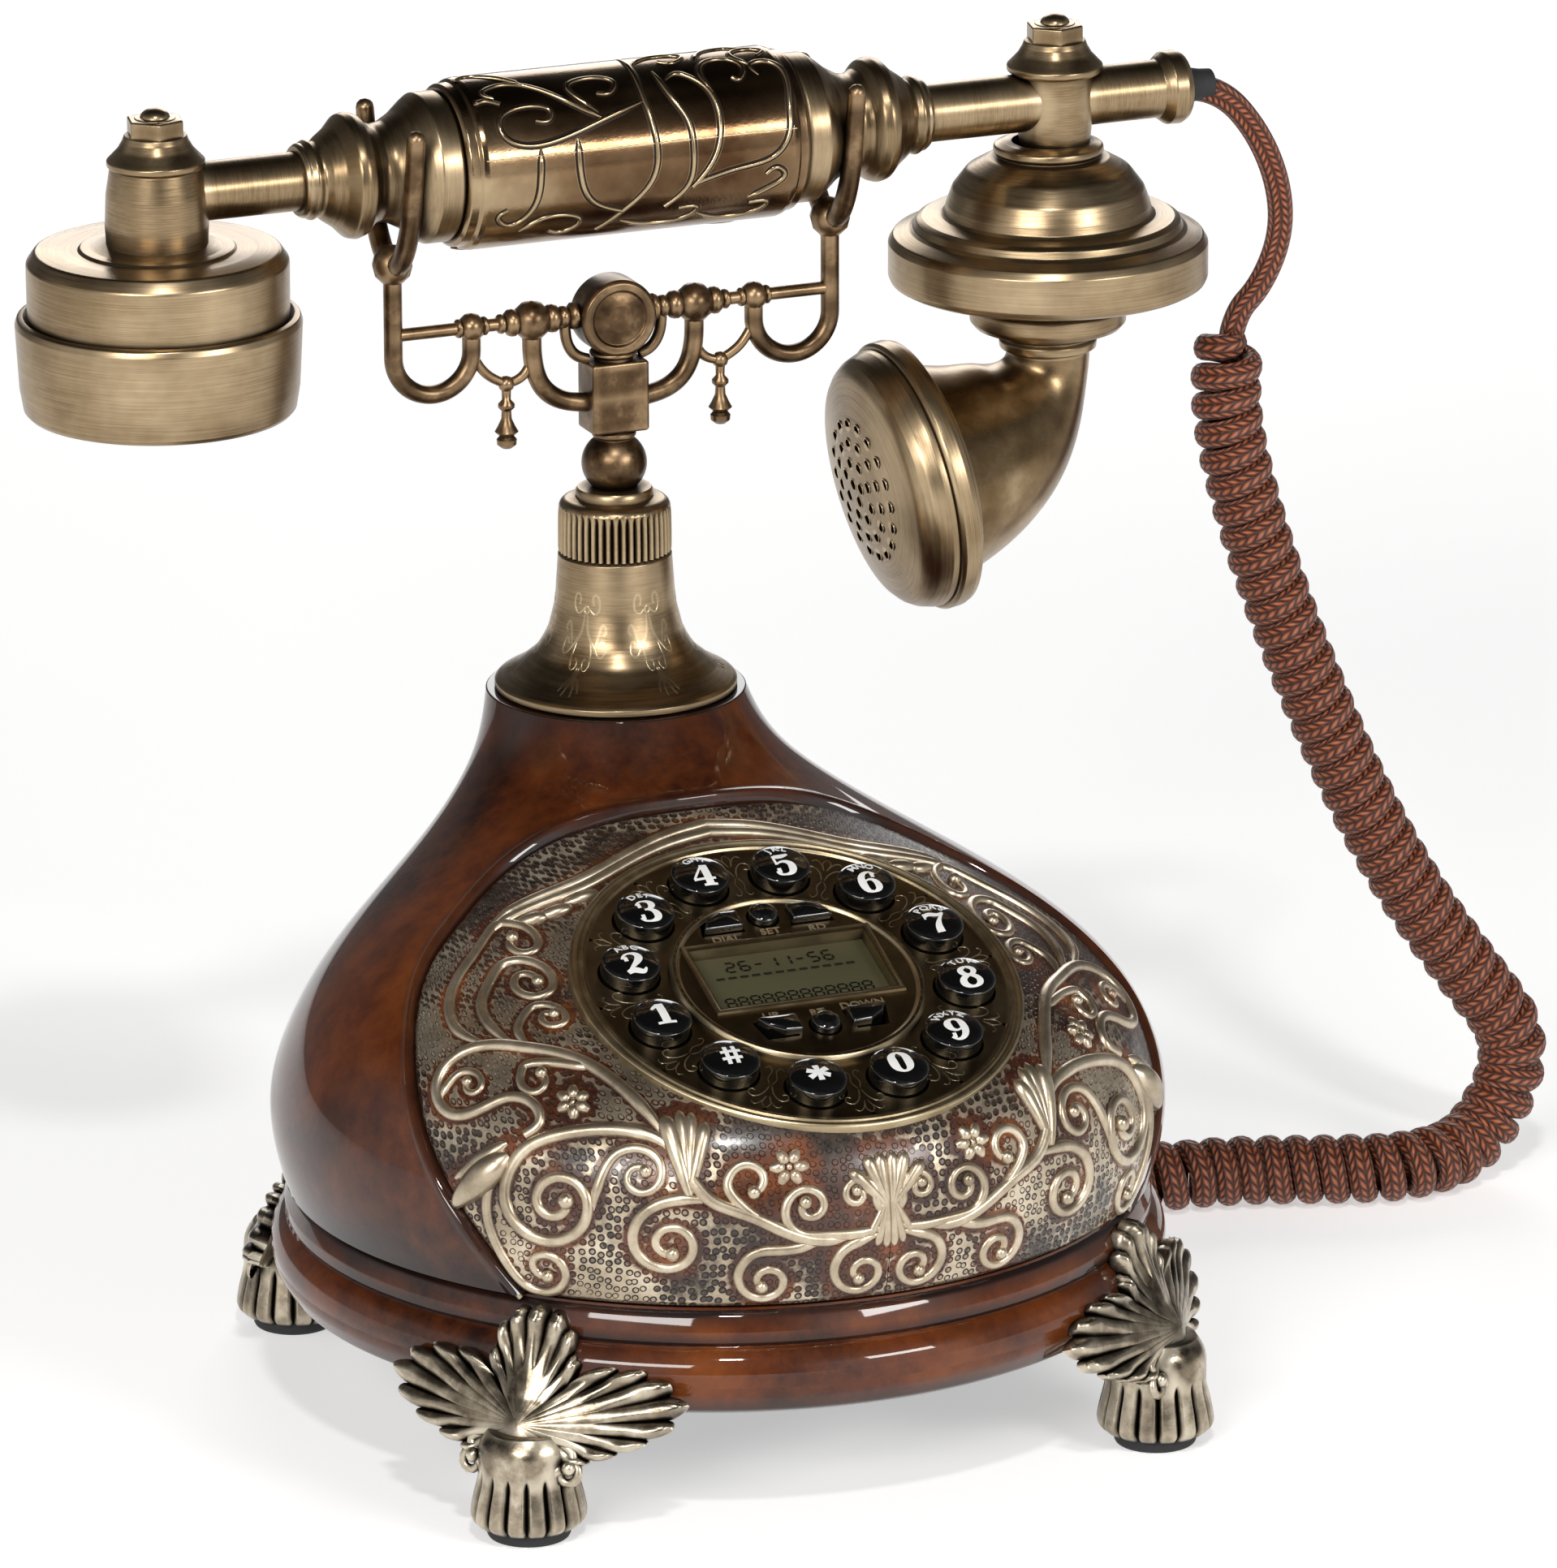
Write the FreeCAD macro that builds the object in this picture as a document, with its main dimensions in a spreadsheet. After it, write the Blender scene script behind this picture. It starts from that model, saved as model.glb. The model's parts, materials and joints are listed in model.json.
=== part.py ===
import FreeCAD, Part
import math
import os
import re
import Sketcher

# A decorative push-button desk telephone in the style of an antique one.  Millimetres, +Z up, front towards -Y.
# The origin is on the table under the middle of the phone's box (the cord left out).

V = FreeCAD.Vector
Turn = FreeCAD.Rotation
UP = V(0, 0, 1)
ALONG_X = V(1, 0, 0)
ALONG_Y = V(0, 1, 0)
PLACES = ("x", "y", "z")

DIMENSIONS = {
    # plinth and underside
    "plinth_r": 100.0, "plinth_z": 27.2, "plinth_tall": 24.3, "plinth_bore": 90.0,
    "floor_thick": 2.4, "boss_x": 42.0, "boss_y": 32.0, "boss_r": 3.2, "boss_tall": 13.6,
    "foot_x": 74.7, "foot_y": 73.3, "pad_r": 9.2, "pad_thick": 3.0,
    # body
    "body_z": 51.6, "body_wall": 3.6, "neck_y": 59.5, "neck_top": 147.0,
    # dial, tilted towards the caller
    "dial_y": -46.6, "dial_z": 108.7, "dial_tilt": 21.2, "dial_r": 50.4, "dial_rim": 1.8, "dial_skirt": 4.0,
    "dial_thick": 1.5, "bezel_r": 28.5, "bezel_rise": 1.2, "key_ring": 37.3, "key_r": 6.6, "key_gap": 0.4,
    "key_rise": 3.6, "key_crown": 1.3, "key_stem_r": 4.0, "key_stem": 3.0,
    "window_w": 42.0, "window_d": 21.0, "window_v": 3.0, "small_key_r": 3.3, "wide_key": 9.6, "wide_key_d": 5.4,
    # bell, nut and hook mechanism
    "bell_z": 147.2, "bell_tall": 31.8, "bell_rim": 27.4, "bell_top_r": 13.1, "sleeve_r": 9.0, "nut_r": 12.8,
    "nut_tall": 12.3, "nut_z": 179.2, "post_r": 4.5, "post_fit": 0.08, "washer_r": 8.75,
    "spring_z": 108.3, "spring_tall": 24.5, "spring_r": 7.6, "spring_bore": 5.4,
    # cradle
    "rail_z": 234.4, "rail_r": 1.5, "yoke_x": 52.6, "bar_r": 2.1, "eye_z": 250.8,
    "block_x": 13.6, "block_y": 10.0, "block_z": 207.4, "block_tall": 16.1, "medal_r": 8.9, "medal_thick": 9.4,
    # handset
    "axis_z": 272.3, "head_x": 107.7, "tube_r": 6.6, "tube_wall": 1.2, "tube_end": 147.4, "end_r": 8.2,
    "grip_r": 19.8, "grip_half": 40.8, "ear_r": 29.1, "ear_cap_r": 31.8, "ear_z": 223.4,
    "ear_cap_tall": 22.4, "ear_tall": 37.9, "disc_r": 38.8, "mouth_r": 31.3, "mouth_x": 70.9,
    "mouth_z": 187.7, "mouth_tilt": 10.3,
    # cord
    "cord_w": 6.2, "coil_d": 16.4, "plug_x": -8.0, "plug_z": 38.5, "plug_long": 12.0, "jack_gap": 22.0,
}
# The ear side reaches further from the neck than the cord end, so the whole phone moves sideways by half of that.
DIMENSIONS["frame_x"] = (DIMENSIONS["head_x"] + DIMENSIONS["ear_cap_r"] - DIMENSIONS["tube_end"]) / 2

# The body is a stack of circles: height, front edge and back edge of each.
BODY_RINGS = ((51.6, -97.0, 97.0), (62, -99.5, 99.5), (72, -100, 99.5), (84, -97, 95.5), (96, -87.5, 90),
              (108, -64, 85), (120, -25, 83.5), (132, 11.5, 86), (147, 30.1, 88.9))
# Half of the relief panel's outline seen from the front: sideways and height.
PANEL_OUTLINE = ((0, 132.5), (29, 129), (59, 116), (78.5, 103), (86.5, 87), (82.5, 68), (72, 51.8))
PANEL_DEEP = 18.0

doc = FreeCAD.newDocument("telephone")
sheet = doc.addObject("Spreadsheet::Sheet", "dims")
for row, (alias, value) in enumerate(DIMENSIONS.items(), start=1):
    sheet.set("A%d" % row, alias)
    sheet.set("B%d" % row, "%.6g" % value)
    sheet.setAlias("B%d" % row, alias)
doc.recompute()

nodes = []


# ---- helpers ------------------------------------------------------------------------------------------------

def bound(text):
    """A sum of dimension names and numbers as an expression on the spreadsheet."""
    return re.sub(r"([a-z]\w*)", r"dims.\1", str(text))


def size(text):
    """The value of such a sum in millimetres."""
    names = {alias: float(sheet.get(alias)) for alias in DIMENSIONS}
    total = 0.0
    for sign, word in re.findall(r"([+-]?)\s*([\w./]+)", str(text)):
        name, slash, share = word.partition("/")
        value = names[name] if name in names else float(name)
        value = value / float(share) if slash else value
        total += -value if sign == "-" else value
    return total


def keep(thing, label):
    """Count an object as a sub-part of the phone."""
    thing.Label = label
    nodes.append(thing)
    return thing


def place(thing, x, y, z, axis=UP, angle=0.0):
    """Put a sub-part at a place given by dimension sums; x counts from the neck's own plane of symmetry."""
    thing.Placement = FreeCAD.Placement(V(), Turn(axis, angle))
    for name, text in zip(PLACES, ("frame_x + %s" % x, y, z)):
        thing.setExpression(".Placement.Base." + name, bound(text))


def dial_placement(u=0.0, v=0.0, w=0.0):
    """A placement on the dial: u to the right, v up the slope, w out of the plate."""
    turn = Turn(ALONG_X, size("dial_tilt"))
    middle = V(size("frame_x"), size("dial_y"), size("dial_z"))
    return FreeCAD.Placement(middle + turn.multVec(V(u, v, w)), turn)


def outline_sketch(body, role, corners):
    """A closed outline of (x, y) or (x, y, bulge) corners; bulge is the height of the arc that leads there."""
    sketch = body.newObject("Sketcher::SketchObject", body.Name + "_outline")
    plane = next(f for f in body.Origin.OriginFeatures if f.Role == role)
    sketch.AttachmentSupport = [(plane, "")]
    sketch.MapMode = "FlatFace"
    spots = [V(size(c[0]), size(c[1]), 0) for c in corners]
    ends = []
    for index, corner in enumerate(corners):
        start, end = spots[index - 1], spots[index]
        if len(corner) == 3:
            across = (end - start).cross(UP).normalize()
            middle = (start + end) / 2 + across * corner[2]
            edge = sketch.addGeometry(Part.Arc(start, middle, end))
        else:
            edge = sketch.addGeometry(Part.LineSegment(start, end))
        backwards = sketch.getPoint(edge, 1).distanceToPoint(start) > sketch.getPoint(edge, 2).distanceToPoint(start)
        ends.append((edge, 2, 1) if backwards else (edge, 1, 2))
    for index, corner in enumerate(corners):
        edge, first, last = ends[index]
        following, next_first, _ = ends[(index + 1) % len(ends)]
        sketch.addConstraint(Sketcher.Constraint("Coincident", edge, last, following, next_first))
        for kind, line, text, value in (("DistanceX", -2, corner[0], spots[index].x),
                                        ("DistanceY", -1, corner[1], spots[index].y)):
            if abs(value) < 1e-9:
                sketch.addConstraint(Sketcher.Constraint("PointOnObject", edge, last, line))
            else:
                mark = sketch.addConstraint(Sketcher.Constraint(kind, -1, 1, edge, last, value))
                sketch.setExpression("Constraints[%d]" % mark, bound(text))
        if len(corner) == 3:
            chord = (spots[index] - spots[index - 1]).Length
            radius = (chord ** 2 + 4 * corner[2] ** 2) / (8 * abs(corner[2]))
            sketch.addConstraint(Sketcher.Constraint("Radius", edge, radius))
    return sketch


def turned(label, corners):
    """A body turned about its own Z axis from (radius, height) corners."""
    body = doc.addObject("PartDesign::Body", label)
    sketch = outline_sketch(body, "XZ_Plane", corners)
    solid = body.newObject("PartDesign::Revolution", label + "_turning")
    solid.Profile = sketch
    solid.ReferenceAxis = (sketch, ["V_Axis"])
    solid.Angle = 360
    sketch.Visibility = False
    return keep(body, label)


def holes(body, name, spots, radius, depth_from, pattern=1):
    """Round holes down through a body at (x, y) spots, each set repeated round its axis."""
    doc.recompute()
    before = body.Shape.Volume
    sketch = body.newObject("Sketcher::SketchObject", name + "_circles")
    plane = next(f for f in body.Origin.OriginFeatures if f.Role == "XY_Plane")
    sketch.AttachmentSupport = [(plane, "")]
    sketch.MapMode = "FlatFace"
    sketch.AttachmentOffset = FreeCAD.Placement(V(0, 0, size(depth_from)), Turn())
    for x, y in spots:
        circle = sketch.addGeometry(Part.Circle(V(x, y, 0), UP, size(radius)))
        mark = sketch.addConstraint(Sketcher.Constraint("Radius", circle, size(radius)))
        sketch.setExpression("Constraints[%d]" % mark, bound(radius))
    pocket = body.newObject("PartDesign::Pocket", name)
    pocket.Profile = sketch
    pocket.Type = "ThroughAll"
    sketch.Visibility = False
    if pattern > 1:
        doc.recompute()
        ring = body.newObject("PartDesign::PolarPattern", name + "_ring")
        ring.Originals = [pocket]
        ring.Axis = (sketch, ["N_Axis"])
        ring.Angle = 360
        ring.Occurrences = pattern
        body.Tip = ring
    doc.recompute()
    if body.Shape.Volume > before - 1:
        raise ValueError("%s cuts nothing" % name)


def box(label, x, y, z):
    """A block whose three sides are dimension sums."""
    block = doc.addObject("Part::Box", label)
    for side, text in zip(("Length", "Width", "Height"), (x, y, z)):
        block.setExpression(side, bound(text))
    return block


def shaped(label, shape, placement=None):
    """A sub-part whose shape is made with Part's own functions."""
    feature = doc.addObject("Part::Feature", label)
    feature.Shape = shape
    feature.Placement = placement or FreeCAD.Placement(V(size("frame_x"), 0, 0), Turn())
    return keep(feature, label)


def rod(start, end, radius):
    """A straight round rod."""
    return Part.makeCylinder(radius, (end - start).Length, start, end - start)


def fused(pieces):
    """One solid from touching pieces."""
    return pieces[0].multiFuse(pieces[1:]).removeSplitter()


def swept(wire, radius):
    """A round bar along a wire, checked against its section times its length."""
    start = wire.OrderedEdges[0]
    section = Part.Wire(Part.makeCircle(radius, start.valueAt(start.FirstParameter),
                                        start.tangentAt(start.FirstParameter)))
    bar = wire.makePipeShell([section], True, True)
    expected = math.pi * radius ** 2 * wire.Length
    if abs(bar.Volume - expected) > 0.02 * expected:
        raise ValueError("a swept bar has the volume %.0f and not %.0f" % (bar.Volume, expected))
    return bar


def rounded_path(points, name):
    """Straight runs joined by the largest tangent arcs that 0.45 of the shorter run allows."""
    edges = []
    last = points[0]
    radii = []
    for before, corner, after in zip(points, points[1:], points[2:]):
        back = (before - corner).normalize()
        ahead = (after - corner).normalize()
        reach = 0.45 * min((before - corner).Length, (after - corner).Length)
        half = (math.pi - back.getAngle(ahead)) / 2
        radii.append(reach / math.tan(half))
        start = corner + back * reach
        end = corner + ahead * reach
        middle_way = (back + ahead).normalize()
        middle = corner + middle_way * (radii[-1] / math.cos(half) - radii[-1])
        edges.append(Part.LineSegment(last, start).toShape())
        edges.append(Part.Arc(start, middle, end).toShape())
        last = end
    edges.append(Part.LineSegment(last, points[-1]).toShape())
    print(name, "radii", " ".join("%.0f" % r for r in radii))
    return Part.Wire(edges)


# ---- underside, feet and plinth -----------------------------------------------------------------------------

def make_plinth():
    plinth = turned("plinth", [
        ("plinth_bore", 0), ("plinth_r - 5.5", 0), ("plinth_r", 7.6, 1.2), ("plinth_r - 3", 15.6, 1.4),
        ("plinth_r - 3.4", 17.2, -0.5), ("plinth_r - 3.2", 19.2), ("plinth_r - 5", 22.6, 0.5),
        ("plinth_r - 5.4", "plinth_tall"), ("plinth_bore", "plinth_tall")])
    place(plinth, 0, 0, "plinth_z")
    nodes.remove(plinth)
    plinth.Label = "plinth_ring"
    slots = []
    for x in (size("plug_x"), size("plug_x") + size("jack_gap")):
        slots.append(Part.makeBox(13.4, 30, 12.4, V(x - 6.7, 75, size("plug_z") - 6.2)))
        slots.append(Part.makeBox(17.4, 10, 15.4, V(x - 8.7, 95.8, size("plug_z") - 7.7)))
    openings = doc.addObject("Part::Feature", "jack_slots")
    openings.Shape = slots[0].multiFuse(slots[1:])
    openings.Placement = FreeCAD.Placement(V(size("frame_x"), 0, 0), Turn())
    cut = doc.addObject("Part::Cut", "plinth_cut")
    cut.Base = plinth
    cut.Tool = openings
    keep(cut, "plinth")


def make_base_plate():
    plate = turned("base_plate", [(0, 0), ("plinth_bore - 0.15", 0), ("plinth_bore - 0.15", "floor_thick"),
                                  (0, "floor_thick")])
    posts = []
    for side in (-1, 1):
        for end in (-1, 1):
            posts.append((side * size("boss_x"), end * size("boss_y")))
    doc.recompute()
    sketch = plate.newObject("Sketcher::SketchObject", "boss_circles")
    plane = next(f for f in plate.Origin.OriginFeatures if f.Role == "XY_Plane")
    sketch.AttachmentSupport = [(plane, "")]
    sketch.MapMode = "FlatFace"
    for x, y in posts:
        circle = sketch.addGeometry(Part.Circle(V(x, y, 0), UP, size("boss_r")))
        mark = sketch.addConstraint(Sketcher.Constraint("Radius", circle, size("boss_r")))
        sketch.setExpression("Constraints[%d]" % mark, bound("boss_r"))
    bosses = plate.newObject("PartDesign::Pad", "bosses")
    bosses.Profile = sketch
    bosses.setExpression("Length", bound("floor_thick + boss_tall"))
    holes(plate, "screw_holes", [(0, 80)], 1.8, 30, pattern=4)
    place(plate, 0, 0, "plinth_z + 0.2")


def make_base_screws():
    screws = []
    for index in range(4):
        angle = math.radians(90 * index)
        foot = V(80 * math.cos(angle), 80 * math.sin(angle), size("plinth_z") - 1.6)
        head = Part.makeCylinder(3.2, 1.8, foot)
        slot = Part.makeBox(7, 0.9, 0.8, foot - V(3.5, 0.45, 0))
        shank = Part.makeCylinder(1.6, 9, foot)
        screws.append(head.fuse(shank).cut(slot))
    shaped("base_screws", Part.makeCompound(screws))


def foot_shape(angle):
    """One foot: a grooved paw under a three-lobed leaf that hugs the plinth, built facing +X and then turned."""
    reach = math.hypot(size("foot_x"), size("foot_y"))
    low, top = size("pad_thick"), size("plinth_z")
    rings = ((low, 10.2), (low + 3, 11.6), (low + 9, 9.4), (low + 15, 9.0), (top - 2.5, 12.5), (top, 13.5))
    paw = Part.makeLoft([Part.Wire(Part.makeCircle(r, V(reach, 0, z))) for z, r in rings], True)
    for side in (-0.75, -0.25, 0.25, 0.75):
        groove = rod(V(reach, 0, low - 1), V(reach, 0, low + 10), 0.9)
        groove.translate(V(11.9 * math.cos(side), 11.9 * math.sin(side), 0))
        paw = paw.cut(groove)
    profile = [V(100.6, 0, 25), V(100.6, 0, 39), V(98.4, 0, 46.5), V(97.6, 0, 50.5), V(101.4, 0, 50.5),
               V(104.5, 0, 46), V(107.5, 0, 38), V(108.5, 0, 29), V(106.5, 0, 21), V(94, 0, 21), V(94, 0, 25)]
    ring = Part.Face(Part.makePolygon(profile + profile[:1])).revolve(V(), UP, 360)
    lobes = ((-33.5, 31), (-29, 36), (-20, 38.5), (-12.5, 36.5), (-9.5, 43), (-4, 50.3), (4, 50.3), (9.5, 43),
             (12.5, 36.5), (20, 38.5), (29, 36), (33.5, 31), (24, 23.5), (13, 19), (-13, 19), (-24, 23.5))
    leaf = Part.Face(Part.makePolygon([V(80, y, z) for y, z in lobes + lobes[:1]]))
    shield = ring.common(leaf.extrude(V(40, 0, 0)))
    foot = fused([paw, shield])
    foot.rotate(V(), UP, angle)
    return foot


def make_feet():
    diagonal = math.degrees(math.atan2(size("foot_y"), size("foot_x")))
    angles = (diagonal, 180 - diagonal, 180 + diagonal, -diagonal)
    shaped("feet", Part.makeCompound([foot_shape(a) for a in angles]))
    pads = []
    for x in (-1, 1):
        for y in (-1, 1):
            spot = V(x * size("foot_x"), y * size("foot_y"), 0)
            pads.append(Part.makeCylinder(size("pad_r"), size("pad_thick"), spot))
    shaped("foot_pads", Part.makeCompound(pads))


# ---- body -----------------------------------------------------------------------------------------------------

def body_solid(inset, low=None, high=None):
    """The body's outer form, or one inset evenly inside it."""
    circles = []
    for z, front, back in BODY_RINGS:
        centre = V(0, (front + back) / 2, z)
        circles.append(Part.Wire(Part.makeCircle((back - front) / 2 - inset, centre)))
    solid = Part.makeLoft(circles, True)
    if high is not None:
        solid = solid.common(Part.makeBox(240, 240, high - low, V(-120, -120, low)))
    return solid


def panel_prism(shrink):
    """The relief panel's outline carried back through the front of the body."""
    right = [V(x, 0, z) for x, z in PANEL_OUTLINE]
    left = [V(-p.x, 0, p.z) for p in reversed(right[1:])]
    middle = V(0, 0, 90)
    points = []
    for p in left + right:
        inward = (middle - p).normalize()
        points.append(p + inward * shrink)
    points[0].z = size("body_z") - 1
    points[-1].z = size("body_z") - 1
    curve = Part.BSplineCurve()
    curve.interpolate(points)
    closing = Part.LineSegment(points[-1], points[0])
    face = Part.Face(Part.Wire([curve.toShape(), closing.toShape()]))
    face.translate(V(0, PANEL_DEEP, 0))
    return face.extrude(V(0, -140, 0))


def dial_drum(radius, low, high):
    """A cylinder square to the dial, between two levels of it."""
    drum = Part.makeCylinder(radius, high - low, V(0, 0, low))
    drum.Placement = dial_placement()
    drum.translate(V(-size("frame_x"), 0, 0))
    return drum


def make_body_shell():
    wall = size("body_wall")
    shell = body_solid(0).cut(body_solid(wall, size("body_z"), size("neck_top") - 4.5))
    shell = shell.cut(panel_prism(0))
    bore = Part.makeCylinder(size("sleeve_r") + 0.15, 20, V(0, size("neck_y"), size("neck_top") - 12))
    shaped("body_shell", shell.cut(bore))


def make_front_panel():
    skin = body_solid(1.2).cut(body_solid(4.4)).common(panel_prism(0.15))
    seat = dial_drum(54, -8.5, -size("dial_skirt") - 0.1).cut(dial_drum(46.3, -9, 0))
    seat = seat.common(body_solid(1.4)).common(panel_prism(0.3))
    panel = skin.fuse(seat).cut(dial_drum(size("dial_r") + 0.2, -size("dial_skirt") - 0.05, 40))
    panel = panel.cut(dial_drum(46.3, -30, 1)).removeSplitter()
    largest = max(panel.Solids, key=lambda s: s.Volume)
    shaped("front_panel", largest)


# ---- dial -----------------------------------------------------------------------------------------------------

def on_dial(body, w):
    body.Placement = dial_placement(0, 0, w)


def make_dial_plate():
    plate = turned("dial_plate", [
        ("bezel_r + 0.15", "dial_skirt - dial_thick"), ("dial_r - dial_rim", "dial_skirt - dial_thick"),
        ("dial_r - dial_rim", 0), ("dial_r", 0), ("dial_r", "dial_skirt + 0.4"),
        ("dial_r - dial_rim", "dial_skirt + 0.4", 0.5), ("dial_r - dial_rim - 0.6", "dial_skirt"),
        ("bezel_r + 0.15", "dial_skirt")])
    first = math.radians(15)
    spot = (size("key_ring") * math.cos(first), size("key_ring") * math.sin(first))
    holes(plate, "key_holes", [spot], "key_r + key_gap", 8, pattern=12)
    on_dial(plate, -size("dial_skirt"))


SMALL_KEYS = (("function_key_a", -10.6, 20.8), ("function_key_b", 0, 21.6), ("function_key_c", 10.6, 20.8),
              ("function_key_d", -10.6, -16.0), ("function_key_e", 0, -16.8), ("function_key_f", 10.6, -16.0))


def wedge(grow, low, high):
    """The outline of a wide function key as a prism, grown all round."""
    half = size("wide_key") / 2 + grow
    deep = size("wide_key_d") / 2 + grow
    corners = [V(-half, -deep, low), V(half, -deep, low), V(half * 0.72, deep, low), V(-half * 0.72, deep, low)]
    return Part.Face(Part.makePolygon(corners + corners[:1])).extrude(V(0, 0, high - low))


def small_key_blank(index, v, grow, low, high):
    """A function key's prism: round in the middle of a row, a wedge at its ends, narrow side away from the LCD."""
    if index % 3 == 1:
        return Part.makeCylinder(size("small_key_r") + grow, high - low, V(0, 0, low))
    blank = wedge(grow, low, high)
    if v < 0:
        blank.rotate(V(), UP, 180)
    return blank


def make_display_bezel():
    rise = size("bezel_rise")
    outer = size("bezel_r")
    profile = [V(0, 0, -1.5), V(outer, 0, -1.5), V(outer, 0, 0.6), V(outer - 0.7, 0, rise + 0.7),
               V(outer - 1.4, 0, rise + 0.7), V(outer - 2.0, 0, rise), V(0, 0, rise)]
    bezel = Part.Face(Part.makePolygon(profile + profile[:1])).revolve(V(), UP, 360)
    w, d, v = size("window_w"), size("window_d"), size("window_v")
    bezel = bezel.cut(Part.makeBox(w, d, 9, V(-w / 2, v - d / 2, -4)))
    frame = Part.makeBox(w + 2.4, d + 2.4, 0.6, V(-w / 2 - 1.2, v - d / 2 - 1.2, rise))
    frame = frame.cut(Part.makeBox(w, d, 3, V(-w / 2, v - d / 2, rise - 1)))
    bezel = bezel.fuse(frame)
    for index, (_, x, y) in enumerate(SMALL_KEYS):
        blank = small_key_blank(index, y, 0.45, -4, 6)
        blank.translate(V(x, y, 0))
        bezel = bezel.cut(blank)
    shaped("display_bezel", bezel.removeSplitter(), dial_placement())


def make_display():
    w, d, v = size("window_w"), size("window_d"), size("window_v")
    glass = box("lcd_module", "window_w + 4", "window_d + 3", 2.6)
    keep(glass, "lcd_module")
    glass.Placement = dial_placement(-w / 2 - 2, v - d / 2 - 1.5, -4.3)


def make_keypad():
    membrane = turned("key_membrane", [(0, 0), (45.6, 0), (45.6, 1.4), (0, 1.4)])
    on_dial(membrane, -6.6)
    board = turned("keypad_board", [(0, 0), (45.9, 0), (45.9, 1.6), (0, 1.6)])
    on_dial(board, -8.4)


DIGITS = ("5", "6", "7", "8", "9", "0", "star", "hash", "1", "2", "3", "4")


def dome_bulge(radius, rise):
    """How far a dome's arc stands off its chord when it is level at its top."""
    sphere = (radius ** 2 + rise ** 2) / (2 * rise)
    return sphere - math.sqrt(sphere ** 2 - (radius ** 2 + rise ** 2) / 4)


def make_keys():
    crown = dome_bulge(size("key_r - 0.8"), size("key_crown"))
    for index, digit in enumerate(DIGITS):
        angle = math.radians(75 - 30 * index)
        key = turned("key_" + digit, [
            (0, 0), ("key_stem_r", 0), ("key_stem_r", "key_stem - 1"), ("key_r", "key_stem - 1"),
            ("key_r", "key_stem + key_rise - 0.9"), ("key_r - 0.8", "key_stem + key_rise", 0.25),
            (0, "key_stem + key_rise + key_crown", crown)])
        key.Placement = dial_placement(size("key_ring") * math.cos(angle), size("key_ring") * math.sin(angle),
                                       -size("key_stem"))
    for index, (name, x, y) in enumerate(SMALL_KEYS):
        key = small_key_blank(index, y, 0, -1.0, size("bezel_rise") + 2.6)
        if index % 3 != 1:
            top = [e for e in key.Edges if min(v.Z for v in e.Vertexes) > 3]
            key = key.makeChamfer(0.7, top)
        shaped(name, key, dial_placement(x, y, 0))


# ---- inside ---------------------------------------------------------------------------------------------------

def make_inside():
    board = box("main_board", 96, 76, 1.6)
    keep(board, "main_board")
    place(board, -48, -38, "plinth_z + 0.2 + floor_thick + boss_tall")
    weight = turned("ballast_weight", [(0, 0), (30, 0), (30, 8), (0, 8)])
    place(weight, 0, 0, "plinth_z + 0.2 + floor_thick")
    ringer = turned("ringer_speaker", [(0, 0), (18, 0), (18, 5), (11, 11.5), (0, 11.5)])
    place(ringer, 0, -57, "plinth_z + 0.2 + floor_thick")
    floor = size("plinth_z") + 0.2 + size("floor_thick")
    neck = size("neck_y")
    stalk = Part.makeBox(14, 2, 66, V(-7, neck + 7, floor))
    shelf = Part.makeBox(14, 16, 2, V(-7, neck - 7, floor + 64))
    case = Part.makeBox(13, 12, 9.5, V(-6.5, neck - 6, floor + 66))
    button = Part.makeCylinder(1.6, 5.1, V(0, neck, floor + 75.5))
    seat = Part.makeBox(18, 18, 1.4, V(-9, neck - 9, floor + 77.1))
    seat = seat.cut(Part.makeCylinder(3.6, 6, V(0, neck, floor + 75)))
    legs = [Part.makeBox(1.6, 10, 13.1, V(x, neck - 5, floor + 64)) for x in (-8.7, 7.1)]
    shaped("hook_switch", fused([stalk, shelf, case, button] + legs + [seat]))


def make_spring():
    spring = turned("return_spring", [
        ("spring_bore", 0), ("spring_r", 0), ("spring_r", "spring_tall"), ("spring_bore", "spring_tall")])
    place(spring, 0, "neck_y", "spring_z")


def make_jacks():
    """Two modular sockets in the back of the plinth: the handset's and the line's."""
    jacks = []
    for x in (size("plug_x"), size("plug_x") + size("jack_gap")):
        case = Part.makeBox(13, 16, 12, V(x - 6.5, 80.5, size("plug_z") - 6))
        bezel = Part.makeBox(17, 4, 15, V(x - 8.5, 96, size("plug_z") - 7.5))
        mouth = Part.makeBox(9.8, 14, 7.4, V(x - 4.9, 87, size("plug_z") - 3.7))
        jacks.append(fused([case, bezel]).cut(mouth))
    shaped("rear_jacks", Part.makeCompound(jacks))


# ---- bell, nut and cradle -------------------------------------------------------------------------------------

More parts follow.
